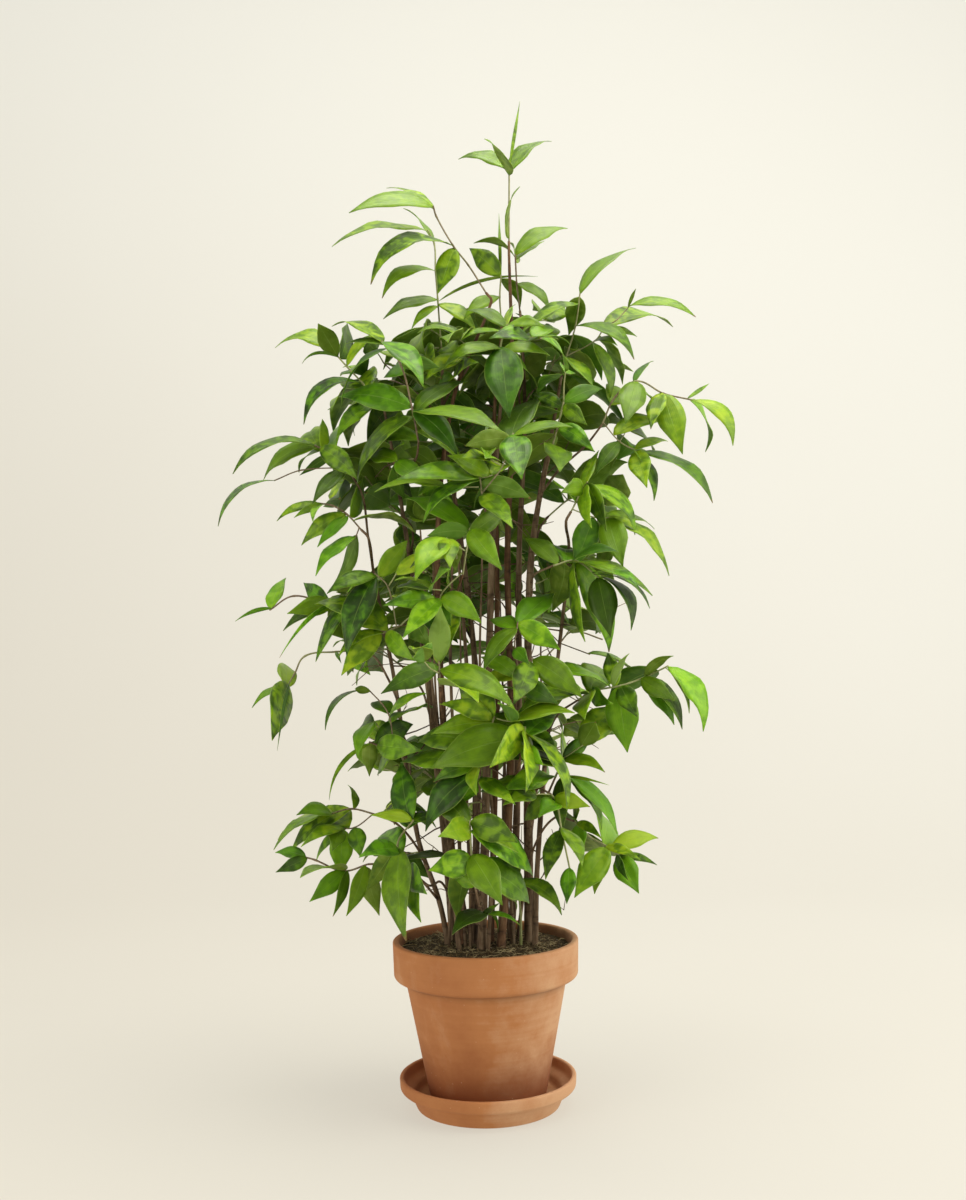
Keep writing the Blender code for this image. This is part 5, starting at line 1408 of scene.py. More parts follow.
def fibre_pattern():
    """One curved root fibre along X, a unit long, drawn out to a point at each end."""
    start_fresh()
    turned = (0, math.pi / 2, 0)
    bpy.ops.mesh.primitive_cylinder_add(vertices=3, radius=FIBRE_RADIUS, depth=1, rotation=turned)
    fibre = bpy.context.object
    settle(fibre)
    open_up(fibre)
    for cut in FIBRE_CUTS:
        bpy.ops.mesh.select_all(action="SELECT")
        bpy.ops.mesh.bisect(plane_co=(cut, 0, 0), plane_no=(1, 0, 0))
    for end in (-0.5, 0.5):
        pick_points(fibre, lambda co: abs(co.x - end) < 0.01)
        bpy.ops.transform.resize(value=(1, 0.3, 0.3), center_override=(end, 0, 0))
        bpy.ops.transform.translate(value=(0, 0.12, -0.05))
    for bend in (-0.1, 0.1):
        pick_points(fibre, lambda co: abs(co.x - bend) < 0.02)
        bpy.ops.transform.translate(value=(0, -0.05, 0.05))
    bpy.ops.object.mode_set(mode="OBJECT")
    return fibre


def tumbled(spot, above, sizes, rng):
    """A lump turned any way round, this far above its spot, of a size drawn from the range."""
    turn = Matrix.Rotation(rng.uniform(0, math.tau), 4, "Z")
    turn = turn @ Matrix.Rotation(rng.uniform(-BIT_TILT, BIT_TILT), 4, "X")
    return Matrix.Translation(spot + UP * above * MM) @ turn @ Matrix.Scale(rng.uniform(*sizes) * MM, 4)


def lay_lump(spot, rng):
    """Lays a crumb of soil."""
    return tumbled(spot, 0.2, CRUMB_SIZES, rng)


def lay_grit(spot, rng):
    """Lays a bit of grit."""
    return tumbled(spot, 0.5, GRIT_SIZES, rng)


def lay_strand(spot, rng):
    """Lays a root fibre nearly flat, long or short and more or less bent."""
    lifted = Matrix.Translation(spot + UP * rng.uniform(*FIBRE_ABOVE) * MM)
    turn = Matrix.Rotation(rng.uniform(0, math.tau), 4, "Z")
    tilt = Matrix.Rotation(rng.uniform(-FIBRE_TILT, FIBRE_TILT), 4, "Y")
    roll = Matrix.Rotation(rng.uniform(0, math.tau), 4, "X")
    size = [rng.uniform(low, high) * MM for low, high in FIBRE_SIZES]
    return lifted @ turn @ tilt @ roll @ Matrix.Diagonal((*size, 1))


# Wood

# Distances between the rings of points along slim canes, twigs and shoots
SLIM_STEP = 4 * MM
SLIM_TEST_STEP = 9 * MM
TWIG_RING_STEP = 3.5 * MM
SHOOT_STEP = 2.4 * MM
BARE_TWIG_STEP = 5 * MM
TUFT_STEP = 4 * MM
# Fine bare twigs: their runs, how far each turns and how long it is, their thickness, length and
# place, and their spurs
TWIG_RUNS = 5
TWIG_KINK = 0.4
TWIG_RUN = (0.7, 1.3)
BARE_TWIG_RADIUS = 0.95
BARE_TWIG_TAPER = 0.6
BARE_TWIG_REACH = (45, 115)
BARE_TWIG_RISE = (-0.1, 0.7)
BARE_TWIG_ABOVE = 0.23
BARE_TWIG_BELOW = 0.8
BARE_TWIG_OFF_TOP = 0.05
SPUR_CHANCE = 0.55
SPUR_REACH = (0.06, 0.3)
SPUR_RADII = (0.55 * MM, 0.3 * MM)
# Slim canes: distances in millimetres, and shares of the height and the thickness at each knot
SLIM_TRIES = 400
SLIM_OUT = (12, 58)
SLIM_DEEP = 0.8
SLIM_TOP = (420, 700)
SLIM_LEAN = (0.2, 1.1)
SLIM_ROOT = 12
SLIM_KNOTS = (0.3, 0.65, 1.0)
SLIM_SWAY = 9
SLIM_RADIUS = (1.7, 3.0)
SLIM_TAPER = (1, 1, 0.85, 0.7, 0.45)
# The root flare of a cane: how far up it fades
FLARE_HEIGHT = 14 * MM
# The swellings along wood: how closely fine and broad ones follow, and the share of the fine ones
FINE_SWELL = 0.45
BROAD_SWELL = 0.11
FINE_SHARE = 0.6
SHOOT_ROUGHNESS = 0.06
BARE_TWIG_ROUGHNESS = 0.15


def handle(line, reach):
    """A handle along the line between a point's neighbours, a third of the reach long."""
    return line * (reach / max(line.length, 1e-6)) / 3


def smooth_way(points, sizes, step):
    """A smooth line through points, with the size at each, cut at even steps."""
    way, radii = [], []
    last = len(points) - 1
    for i in range(last):
        before = points[max(i - 1, 0)]
        after = points[min(i + 2, last)]
        near, far = points[i], points[i + 1]
        reach = (far - near).length
        lead = handle(far - before, reach) if i else (far - near) / 3
        trail = handle(after - near, reach) if i < last - 1 else (far - near) / 3
        count = max(1, round(reach / step))
        for k in range(count + (i == last - 1)):
            t = k / count
            way.append(curve_point(near, near + lead, far - trail, far, t))
            radii.append(sizes[i] + (sizes[i + 1] - sizes[i]) * t)
    return way, radii


def wood_of(name, lines, resolution, rough, rng):
    """Tubes along lines of (points, radii), with small swellings, as one mesh with closed ends."""
    curve = bpy.data.curves.new(name, "CURVE")
    curve.dimensions = "3D"
    curve.bevel_depth = 1.0
    curve.bevel_resolution = resolution
    curve.use_fill_caps = True
    for way, radii in lines:
        spline = curve.splines.new("POLY")
        spline.points.add(len(way) - 1)
        seed = rng.uniform(0, 100)
        for i, (point, place, radius) in enumerate(zip(spline.points, way, radii)):
            fine = noise.noise(Vector((seed, 0, i * FINE_SWELL))) * FINE_SHARE
            broad = noise.noise(Vector((seed, 3, i * BROAD_SWELL)))
            point.co = (*place, 1)
            point.radius = radius * (1 + rough * (fine + broad))
    obj = bpy.data.objects.new(name, curve)
    bpy.context.scene.collection.objects.link(obj)
    take(obj)
    bpy.ops.object.convert(target="MESH")
    obj = bpy.context.view_layer.objects.active
    face_outwards(obj)
    bpy.ops.object.shade_smooth()
    return obj


def nearest_on(way, height):
    """The place on a smooth cane at a height."""
    for near, far in zip(way, way[1:]):
        if near.z <= height <= far.z:
            return near.lerp(far, (height - near.z) / max(far.z - near.z, 1e-9))
    return way[-1]


def kinked_twig(root, out, reach, rng):
    """A fine bare twig in short straight runs, with spurs at some of its kinks."""
    way, heading, spurs = [root], out, []
    for k in range(TWIG_RUNS):
        heading = (heading + wandering(TWIG_KINK, rng)).normalized()
        way.append(way[-1] + heading * reach / TWIG_RUNS * rng.uniform(*TWIG_RUN))
        if k and rng.random() < SPUR_CHANCE:
            aside = (heading * 0.7 + wandering(1, rng)).normalized()
            far = way[-1] + aside * reach * rng.uniform(*SPUR_REACH)
            spurs.append(([way[-1], far], SPUR_RADII))
    radii = [(BARE_TWIG_RADIUS - BARE_TWIG_TAPER * k / TWIG_RUNS) * MM for k in range(TWIG_RUNS + 1)]
    return [(way, radii)] + spurs


def grow_slim_canes(room, number, rng):
    """Slim stems from the soil up into the crown, each where it crosses nothing."""
    lines = []
    for _ in range(SLIM_TRIES):
        if len(lines) == number:
            break
        turn, out = rng.uniform(0, math.tau), rng.uniform(*SLIM_OUT) * MM
        foot = Vector((math.cos(turn) * out, math.sin(turn) * out * SLIM_DEEP, POT_TOP - SOIL_DROP))
        top = rng.uniform(*SLIM_TOP) * MM
        lean = Vector((foot.x, foot.y, 0)) * rng.uniform(*SLIM_LEAN)
        knots = [foot - UP * SLIM_ROOT * MM, foot]
        for share in SLIM_KNOTS:
            sway = [rng.uniform(-SLIM_SWAY, SLIM_SWAY) * MM for _ in range(2)]
            knots.append(foot + lean * share + Vector((*sway, 0)) + UP * (top - foot.z) * share)
        thick = rng.uniform(*SLIM_RADIUS) * MM
        radii = [thick * share for share in SLIM_TAPER]
        line, sizes = smooth_way(knots, radii, SLIM_TEST_STEP)
        if not room.crossed(*thick_tube(line[2:], sizes[2:])):
            room.add("slim cane", *thick_tube(line, sizes))
            lines.append(smooth_way(knots, radii, SLIM_STEP))
    return lines


# Leaves that show

# How a leaf differs from its neighbours: its cup and its edge's waves against the setting, the
# number of waves, the shift between its two edges, the twist and the curl of its end
CUP_RANGE = (0.4, 1.7)
WAVE_RANGE = (0.3, 1.6)
WAVES_RANGE = (1.0, 2.2)
SLIP_RANGE = (0.6, 2.4)
TWIST_RANGE = (-0.22, 0.22)
CURL_RANGE = (-0.1, 0.3)
CURL_FROM = 0.6
# Painted shade: a leaf is darker deep in the crown and lighter the farther out or up it stands, in metres;
# the youngest are at the top
OUT_REACH = 0.2
UPPER_FROM = 0.72
YOUNG_FROM = 0.84
YOUNG_OVER = 0.1
# The swelling of a shoot at a knot: how much, and over which length; and how green shoots are
KNOT_SWELLING = 0.3
KNOT_LENGTH = 2.2 * MM
GREEN_RANGE = (0.2, 0.8)


def leaf_pattern(across, along):
    """One leaf as a flat sheet, two long: a grid whose rows are drawn in to a leaf's outline."""
    start_fresh()
    bpy.ops.mesh.primitive_grid_add(x_subdivisions=across, y_subdivisions=along, size=2, calc_uvs=True)
    leaf = bpy.context.object
    leaf.name = "leaf_pattern"
    open_up(leaf)
    rows = [-1 + 2 * k / along for k in range(along + 1)]
    for y in rows:
        pick_points(leaf, lambda co: abs(co.y - y) < 1e-4)
        share = leaf_share((y + 1) / 2)
        bpy.ops.transform.resize(value=(max(share, 0.02), 1, 1), center_override=(0, y, 0))
    bpy.ops.object.mode_set(mode="OBJECT")
    for name in ("tone", "dry", "gold", "cool"):
        leaf.data.attributes.new(name, "FLOAT", "POINT")
    return leaf


def leaf_share(s):
    """The share of a leaf's half width at s: full early, and drawn out to a long fine tip."""
    if s <= 0 or s >= 1:
        return 0.0
    drawn = max(0.0, (s - LEAF_DRAWN_FROM) / (1 - LEAF_DRAWN_FROM))
    return math.sin(math.pi * s ** LEAF_SHAPE) ** 0.9 * (1 - 0.42 * drawn)


def laid_leaf(pattern, leaf, look, rng):
    """A copy of the pattern laid along a leaf's midrib, with its own cup, waves and shade."""
    obj = copy_of(pattern, "leaf")
    mesh = obj.data
    half = leaf.width / 2 * look.fullness
    reach = (leaf.tip - leaf.root).length
    cup = look.cup * rng.uniform(*CUP_RANGE)
    wave = look.wave * rng.uniform(*WAVE_RANGE)
    waves = rng.uniform(*WAVES_RANGE)
    phase, slip = rng.uniform(0, math.tau), rng.uniform(*SLIP_RANGE)
    twist = rng.uniform(*TWIST_RANGE)
    curl = rng.uniform(*CURL_RANGE)
    frames = {}
    for vert in mesh.vertices:
        s = (vert.co.y + 1) / 2
        if s not in frames:
            point, side, up = blade_frame(leaf, s)
            turn = twist * (s - 0.3)
            turned = side * math.cos(turn) + up * math.sin(turn)
            frames[s] = (point, turned, up * math.cos(turn) - side * math.sin(turn))
        point, side, up = frames[s]
        x = vert.co.x
        edge = min(abs(x), 1.0)
        drop = curl * reach * max(0.0, s - CURL_FROM) ** 2
        ripple = wave * math.sin(math.tau * waves * s + phase + (slip if x > 0 else 0)) * edge * edge
        rise = cup * (edge - 0.45 * edge * edge) + ripple
        vert.co = point + side * x * half + up * (rise * half - drop)
    middle = midrib(leaf, 0.5)[0]
    out = min(max(math.hypot(middle.x, middle.y) / OUT_REACH, (middle.z - UPPER_FROM) / OUT_REACH), 1.0)
    young = min(max((middle.z - YOUNG_FROM) / YOUNG_OVER, 0.0), 1.0)
    # The tone carries painted shade: leaves deep inside the crown are darker, outer and upper ones lighter;
    # the rest of it is the leaf's own random tone
    marks = {
        "tone": look.tone + 0.3 * min(out - 0.6, 0.1) + rng.gauss(0, look.spread * (1 - 0.6 * young)),
        "dry": rng.random() if rng.random() < look.dried else 0,
        "gold": 0.15 + 0.85 * rng.random() ** 1.6,
        "cool": rng.random() * (1 - young),
    }
    for name, value in marks.items():
        mesh.attributes[name].data.foreach_set("value", [value] * len(mesh.vertices))
    return obj


def smooth_shoots(spray, look):
    """The shoots of a spray as smooth lines with a swelling at each knot."""
    in_soil = spray.cane is None
    tubes = [(spray.knots, SHOOT_RADII)] if in_soil else shoot_tubes(spray)
    lines = []
    for way, radii in tubes:
        line, sizes = smooth_way(way, radii, SHOOT_STEP)
        joints = way[1:-1] if len(way) > 2 else way[:1]
        swollen = []
        for point, size in zip(line, sizes):
            near = min((point - joint).length for joint in joints)
            swell = 1 + KNOT_SWELLING * math.exp(-((near / KNOT_LENGTH) ** 2))
            swollen.append(size * look.shoot_size * swell)
        lines.append((line, swollen))
    return lines


# Side shoots inside the crown, which the plain model leaves out: turn and rise in radians, reach
# and leaf length in millimetres, the rise of a leaf in degrees, and where they grow
TUFT_TRIES = 9
TUFT_TURN = 1.7
TUFT_RISE = (-0.2, 0.9)
TUFT_REACH = (12, 42)
TUFT_BEND = 0.2
TUFT_FOOT = 2.5
TUFT_ELBOW = 0.55
TUFT_RADII = (1.1 * MM, 0.9 * MM, 0.8 * MM)
TUFT_SLIM = 0.8
TUFT_WHORLS = (3, 3, 4, 5)
TUFT_WHORL_STEP = 0.4
TUFT_LENGTH = (48, 80)
TUFT_LEAF_TRIES = 4
TUFT_LEAF_TURN = 0.3
TUFT_LEAF_RISE = (-45, 35)
TUFT_LEAF_ROLL = 0.4
TUFT_YOUNG = 0.7
LEAST_TUFT_LEAVES = 2
TUFT_LOW = 225
TUFT_HIGH = 890
MOST_TUFTS = 150
# The heights between which the side shoots of each piece grow, in millimetres
TUFT_LEVELS = (("high", 740, 1000), ("upper", 600, 740), ("middle", 470, 600), ("low", 0, 470))
# Where they may start: the spacing and the front limit of the places on a cane, and how far, in
# metres, the order from the top down is shuffled
CANE_SPOT_STEP = 22 * MM
CANE_SPOT_FRONT = -10 * MM
ORDER_SHUFFLE = 0.5
# A leaf that shows would be hidden by a new one that stands at most this far in front of it; what
# counts as showing; and where the canes show, as (x, z, x, z) in millimetres
HIDING_DEPTH = 0.16
SHOWN_DEPTH = 0.02
CANES_SHOW = ((-4, 548, 48, 628), (-50, 180, 70, 330), (40, 690, 70, 730))


def tuft_leaf(room, own, root, turn, shown_leaves, rng):
    """A leaf of a side shoot near this compass turn that crosses and hides nothing, or None."""
    for attempt in range(TUFT_LEAF_TRIES):
        aside = rng.uniform(-TUFT_LEAF_TURN, TUFT_LEAF_TURN) * (1 + attempt)
        length = rng.uniform(*TUFT_LENGTH) * MM
        width = length * rng.uniform(*BACK_WIDTH)
        rise = math.radians(rng.uniform(*TUFT_LEAF_RISE))
        arch = rng.uniform(*BACK_ARCH)
        roll = rng.uniform(-TUFT_LEAF_ROLL, TUFT_LEAF_ROLL)
        leaf = back_leaf(root, turn + aside, rise, length, width, arch, roll)
        if not in_view(leaf) or in_front(leaf, shown_leaves):
            continue
        if not room.crossed(*blade(leaf, CLEAR)) and not own.crossed(*blade(leaf, 0, LEAF_NECK)):
            return leaf
    return None


def grow_tuft(room, root, shown_leaves, rng):
    """A short side shoot with a whorl of small leaves, where it finds room, or None."""
    for _ in range(TUFT_TRIES):
        turn = rng.uniform(-TUFT_TURN, TUFT_TURN)
        flat = Vector((root.x, root.y, 0)).normalized()
        flat.rotate(Matrix.Rotation(turn, 3, "Z"))
        out = (flat + UP * rng.uniform(*TUFT_RISE)).normalized()
        reach = rng.uniform(*TUFT_REACH) * MM
        bend = wandering(TUFT_BEND, rng)
        middle = root + (out + bend) * reach * TUFT_ELBOW
        knots = [root + out * TUFT_FOOT * MM, middle, root + (out + bend * 0.5) * reach]
        x, z = shown(knots[-1])
        if not inside_outline(x, z) or in_window(x, z) or room.crossed(*thick_tube(knots, TUFT_RADII)):
            continue
        leaves, own = [], Room()
        first, count = rng.uniform(0, math.tau), rng.choice(TUFT_WHORLS)
        for k in range(count):
            place = knots[-1] - out * WHORL_STEP * k * TUFT_WHORL_STEP
            leaf = tuft_leaf(room, own, place, first + math.tau * k / count, shown_leaves, rng)
            if leaf:
                leaves.append(leaf)
                own.add("", *blade(leaf, CLEAR))
        if len(leaves) < LEAST_TUFT_LEAVES:
            continue
        for leaf in leaves:
            room.add("tuft", *blade(leaf, CLEAR))
        room.add("tuft", *thick_tube(knots, TUFT_RADII))
        return knots, leaves
    return None


def in_front(leaf, shown_leaves):
    """Whether a leaf would hide a leaf that shows in front, or the canes where they show."""
    for s in (0.2, 0.5, 0.8, 1.0):
        point, side, _ = blade_frame(leaf, min(s, 0.99))
        for k in (-0.3, 0.3):
            spot = point + side * leaf.width * k * (s < 1)
            if shown_leaves.ray_cast(spot, (spot - EYE).normalized(), HIDING_DEPTH)[0]:
                return True
            x, z = shown(spot)
            if spot.y < 0 and any(x0 < x < x1 and z0 < z < z1 for x0, z0, x1, z1 in CANES_SHOW):
                return True
    return False


def front_leaves(sprays):
    """The leaves that show in front, as one shape to look against."""
    points, faces = [], []
    for spray in sprays:
        if spray.name.startswith("back_"):
            continue
        for leaf in spray.leaves:
            if leaf.tip.y < SHOWN_DEPTH or leaf.root.y < 0:
                some, more = blade(leaf)
                faces += [[k + len(points) for k in face] for face in more]
                points += some
    return BVHTree.FromPolygons(points, faces)


def grow_tufts(room, canes, twigs, sprays, rng):
    """The side shoots inside the crown, from the knots of the sprays, the twigs and the canes."""
    spots = []
    for spray in sprays:
        if spray.cane is not None and not spray.name.startswith("top_"):
            spots += spray.knots
            spots += [(near + far) / 2 for near, far in zip(spray.knots, spray.knots[1:])]
    for index, found in twigs.items():
        for way, _ in found:
            spots += [way[-2], (way[-2] + way[-3]) / 2]
        line, _ = smooth_way(*canes[index], CANE_SPOT_STEP)
        spots += [point for point in line if point.y > CANE_SPOT_FRONT]
    shown_leaves = front_leaves(sprays)
    tufts = []
    for root in sorted(spots, key=lambda spot: rng.uniform(-ORDER_SHUFFLE, ORDER_SHUFFLE) - spot.z):
        if len(tufts) < MOST_TUFTS and TUFT_LOW * MM < root.z < TUFT_HIGH * MM:
            tuft = grow_tuft(room, root, shown_leaves, rng)
            if tuft:
                tufts.append(tuft)
    return tufts


def made_leaves(leaves, pattern, look, paints, rng):
    """The leaves of a spray as one object, with their thickness."""
    blades = joined([laid_leaf(pattern, one, look, rng) for one in leaves], "blades")
    blades.data.materials.clear()
    for paint in paints:
        blades.data.materials.append(paint)
    bpy.ops.object.modifier_add(type="SOLIDIFY")
    wall = blades.modifiers[-1]
    wall.thickness = look.thickness
    wall.offset = -1
    wall.material_offset = 1
    wall.use_even_offset = False
    bpy.ops.object.modifier_apply(modifier=wall.name)
    bpy.ops.object.shade_smooth()
    return blades


def dress(blades, stems, paint, fresh, name):
    """Joins a spray's shoots to its leaves; fresh is how green the shoots are."""
    stems.data.materials.append(paint)
    young = stems.data.attributes.new("young", "FLOAT", "POINT")
    young.data.foreach_set("value", [fresh] * len(stems.data.vertices))
    take(blades, stems)
    bpy.ops.object.join()
    blades.name = blades.data.name = name


# The stage

def hang_paper(stage):
    """The paper backdrop: a floor that bends up into a wall behind the plant."""
    start_fresh()
    bpy.ops.mesh.primitive_plane_add(size=stage.floor)
    paper = bpy.context.object
    paper.name = "paper_backdrop"
    open_up(paper)
    pick_points(paper, lambda co: co.y > 0, "EDGE")
    bpy.ops.transform.translate(value=(0, stage.back - stage.floor / 2, 0))
    bpy.ops.mesh.extrude_region_move(TRANSFORM_OT_translate={"value": (0, 0, stage.wall)})
    pick_points(paper, lambda co: co.y > stage.back - 0.01 and co.z < 0.01, "EDGE")
    bpy.ops.mesh.bevel(offset=stage.cove, segments=COVE_STEPS, profile=0.5, affect="EDGES")
    bpy.ops.mesh.select_all(action="SELECT")
    bpy.ops.mesh.normals_make_consistent(inside=True)
    bpy.ops.object.mode_set(mode="OBJECT")
    bpy.ops.object.shade_smooth()
    paper.data.materials.append(stage_look(stage))


def light_up(stage):
    """The soft lights, each aimed at the plant or at the backdrop, and the light of the room."""
    plant, wall = Vector((0, 0, 0.5)), Vector((0.3, stage.back, 0.9))
    for name, place, aim, wide, power, colour in (
        ("key_light", (2.5, -0.9, 1.8), plant, 3.2, stage.key, (1.0, 0.97, 0.91)),
        ("fill_light", (-2.3, -1.7, 0.9), plant, 2.4, stage.fill, (1.0, 0.98, 0.95)),
        ("top_light", (0.2, -0.1, 3.0), plant, 2.0, stage.top, (1.0, 0.98, 0.94)),
        ("backdrop_light", (0.5, 0.8, 2.6), wall, 1.6, stage.back_light, (1.0, 0.98, 0.94)),
    ):
        bpy.ops.object.light_add(type="AREA", location=place)
        light = bpy.context.object
        light.name = light.data.name = name
        light.data.shape = "DISK"
        light.data.size = wide
        light.data.energy = power
        light.data.color = colour
        light.rotation_euler = (aim - Vector(place)).to_track_quat("-Z", "Y").to_euler()
    world = bpy.data.worlds.new("room")
    bpy.context.scene.world = world
    world.use_nodes = True
    room = world.node_tree.nodes["Background"]
    room.inputs["Color"].default_value = (*stage.world, 1)
    room.inputs["Strength"].default_value = stage.room


def place_camera():
    """The camera, where the photograph was taken from."""
    bpy.ops.object.camera_add()
    camera = bpy.context.object
    camera.data.lens = CAMERA_LENS
    camera.data.sensor_width = CAMERA_SENSOR
    camera.data.clip_start = CAMERA_NEAREST
    camera.matrix_world = (
        Matrix.Translation(EYE)
        @ Matrix.Rotation(math.pi / 2 + CAMERA_TILT, 4, "X")
        @ Matrix.Rotation(CAMERA_ROLL, 4, "Z")
    )
    bpy.context.scene.camera = camera
    bpy.context.scene.view_settings.view_transform = "Standard"


# What a user can change

def distance(label, about, default, low=0.0, high=10.0):
    """A length, in metres."""
    return bpy.props.FloatProperty(
        name=label, description=about, default=default, min=low, max=high,
        subtype="DISTANCE", unit="LENGTH", precision=4,
    )


def fraction(label, about, default, low=0.0, high=1.0):
    """A share of something."""
    return bpy.props.FloatProperty(
        name=label, description=about, default=default, min=low, max=high, subtype="FACTOR"
    )


def watts(label, about, default):
    """The power of a light."""
    return bpy.props.FloatProperty(
        name=label, description=about, default=default, min=0.0, subtype="POWER", unit="POWER"
    )


def whole(label, about, default, low=0, high=5000):
    """A whole number."""
    return bpy.props.IntProperty(name=label, description=about, default=default, min=low, max=high)


def tint(label, about, *default):
    """A colour."""
    return bpy.props.FloatVectorProperty(
        name=label, description=about, default=default, size=3, min=0.0, max=1.0, subtype="COLOR"
    )


class ClaySettings(bpy.types.PropertyGroup):
    """The pot and its saucer"""

    sides: whole("Sides", "Flat sides round the pot and the saucer", 96, 24, 256)
    steps: whole("Rounding steps", "Faces across each rounded edge", 4, 1, 8)
    # Painted light: how far the side towards the key light is painted paler
    painted_light_side: fraction("Painted light side", "How much paler the side towards the light is", 2.2, 0.0, 3.0)
    colour: tint("Clay", "Fired clay", 0.47, 0.195, 0.070)
    dark: tint("Dark clay", "Darker patches of the clay", 0.38, 0.142, 0.048)
    pale: tint("Pale clay", "Paler patches of the clay", 0.62, 0.365, 0.200)
    lime: tint("Lime", "Lime that has come out of the clay", 0.70, 0.46, 0.29)
    # Painted shade and soil stain on the inside wall above the soil
    inner_shade_and_stain: tint("Shaded and stained clay", "The inside of the pot above the soil", 0.115, 0.052, 0.022)
    # Damp clay and painted shade at the foot of the pot
    damp_and_shade: tint("Damp and shaded clay", "The damp foot of the pot", 0.215, 0.058, 0.017)


class SoilSettings(bpy.types.PropertyGroup):
    """The potting soil"""

    crumbs: whole("Crumbs", "Lumps on the soil", 620)
    fibres: whole("Fibres", "Root fibres on the soil", 600)
    grit: whole("Grit", "Pale bits of grit on the soil", 16)
    colour: tint("Soil", "Potting soil", 0.066, 0.043, 0.017)
    dark: tint("Dark soil", "The hollows of the soil", 0.016, 0.011, 0.005)
    pale: tint("Dry soil", "The dry tops of the soil", 0.21, 0.145, 0.065)
    fibre: tint("Fibre", "Root fibres", 0.56, 0.45, 0.24)
    grit_dark: tint("Dark grit", "Shaded side of the grit", 0.42, 0.38, 0.30)
    grit_pale: tint("Pale grit", "Pale side of the grit", 0.66, 0.62, 0.52)


class WoodSettings(bpy.types.PropertyGroup):
    """The canes, twigs and shoots"""

    step: distance("Cane step", "Distance between the rings of points up a cane", 0.004, 0.001, 0.05)
    rough: fraction("Roughness of the canes", "How much a cane swells and narrows", 0.1)
    flare: fraction("Root flare", "How much wider a cane is where it leaves the soil", 0.14)
    twig_size: fraction("Twig size", "Thickness of the twigs against the plain model", 0.72, 0.3, 1.5)
    spare_twigs: whole("Bare twigs", "Fine bare twigs among the canes", 90)
    slim_canes: whole("Slim canes", "Slim bare stems between the canes", 15, 0, 60)
    colour: tint("Bark", "Bark of the canes", 0.165, 0.105, 0.058)
    dark: tint("Dark bark", "Fissures of the bark", 0.045, 0.027, 0.016)
    pale: tint("Pale bark", "Ridges of the bark", 0.34, 0.25, 0.155)
    red: tint("Red bark", "Bark of the redder canes", 0.150, 0.075, 0.036)
    red_pale: tint("Pale red bark", "Ridges of the redder bark", 0.30, 0.18, 0.095)
    twig: tint("Twig", "Young wood", 0.30, 0.22, 0.13)
    twig_dark: tint("Dark twig", "Streaks of the young wood", 0.12, 0.075, 0.04)
    shoot: tint("Shoot", "Green shoots", 0.42, 0.43, 0.20)
    shoot_dark: tint("Dark shoot", "Streaks of the green shoots", 0.25, 0.28, 0.09)


class LeafSettings(bpy.types.PropertyGroup):
    """The leaves"""

    across: whole("Faces across", "Faces across a leaf", 4, 2, 8)
    along: whole("Faces along", "Faces along a leaf", 11, 4, 24)
    thickness: distance("Thickness", "Thickness of a leaf", 0.0005, 0.0001, 0.003)
    fullness: fraction("Fullness", "Width of the leaves against the plain model", 1.04, 0.5, 1.5)
    shoot_size: fraction("Shoot size", "Thickness of the shoots against the plain model", 0.66, 0.5, 1.5)
    cup: fraction("Cup", "How far the two halves of a leaf rise", 0.2)
    wave: fraction("Wave", "How far the edge of a leaf waves", 0.09)
    tone: fraction("Tone", "Mean brightness of the leaves", 0.515)
    spread: fraction("Spread", "How much the brightness of the leaves varies", 0.14)
    marbling: fraction("Marbling", "How strong the blurred marbling is", 0.52, 0.0, 2.0)
    dried: fraction("Dried", "Share of the leaves with a dry tip", 0.16)
    glow: fraction("Glow", "How much light comes through a leaf", 0.35)
    bright: tint("Bright", "Young parts of a leaf", 0.370, 0.520, 0.014)
    middle: tint("Middle", "The usual green", 0.165, 0.305, 0.005)
    dark: tint("Dark", "Dark parts of a leaf", 0.056, 0.125, 0.004)
    deep: tint("Deep", "The darkest leaves", 0.018, 0.044, 0.003)
    under: tint("Underside", "Underside of a leaf", 0.125, 0.200, 0.016)
    under_dark: tint("Dark underside", "Dark parts of the underside", 0.065, 0.125, 0.012)
    under_pale: tint("Pale underside", "Pale parts of the underside", 0.270, 0.360, 0.070)
    cool: tint("Cool", "What the coolest leaves are multiplied by", 0.70, 1.0, 1.0)
    rib: tint("Midrib", "Midrib of a leaf", 0.260, 0.400, 0.070)
    # Painted highlight along the edge of a leaf
    edge_highlight: tint("Edge", "Thin edge of a leaf", 0.300, 0.420, 0.070)
    dry: tint("Dry", "Dry tips", 0.230, 0.140, 0.050)


class StageSettings(bpy.types.PropertyGroup):
    """The backdrop, the lights and the camera"""

    floor: distance("Floor", "Side of the floor", 8.0, 1.0, 50.0)
    wall: distance("Wall", "Height of the backdrop", 5.0, 1.0, 50.0)
    back: distance("Distance", "Distance of the backdrop behind the pot", 2.4, 1.0, 20.0)
    cove: distance("Cove", "Radius of the bend between floor and wall", 1.2, 0.1, 5.0)
    colour: tint("Paper", "The paper backdrop", 0.240, 0.235, 0.211)
    shade: tint("Shaded paper", "The paper where it is darker", 0.202, 0.190, 0.162)
    # The paper's own glow, though it is no lamp, which lifts its shadows
    lift: fraction("Lift", "How far the light that comes through the paper lifts its shadows", 2.6, 0.0, 5.0)
    world: tint("Room", "Light of the room", 1.0, 0.97, 0.91)
    room: fraction("Room light", "Strength of the light of the room", 0.34, 0.0, 5.0)
    key: watts("Key light", "Power of the key light", 84.0)
    fill: watts("Fill light", "Power of the fill light", 40.0)
    back_light: watts("Backdrop light", "Power of the light on the backdrop", 6.0)
    top: watts("Top light", "Power of the light overhead", 60.0)


GROUPS = {
    "dracaena_clay": ClaySettings,
    "dracaena_soil": SoilSettings,
    "dracaena_wood": WoodSettings,
    "dracaena_leaf": LeafSettings,
    "dracaena_stage": StageSettings,
}


# Operators

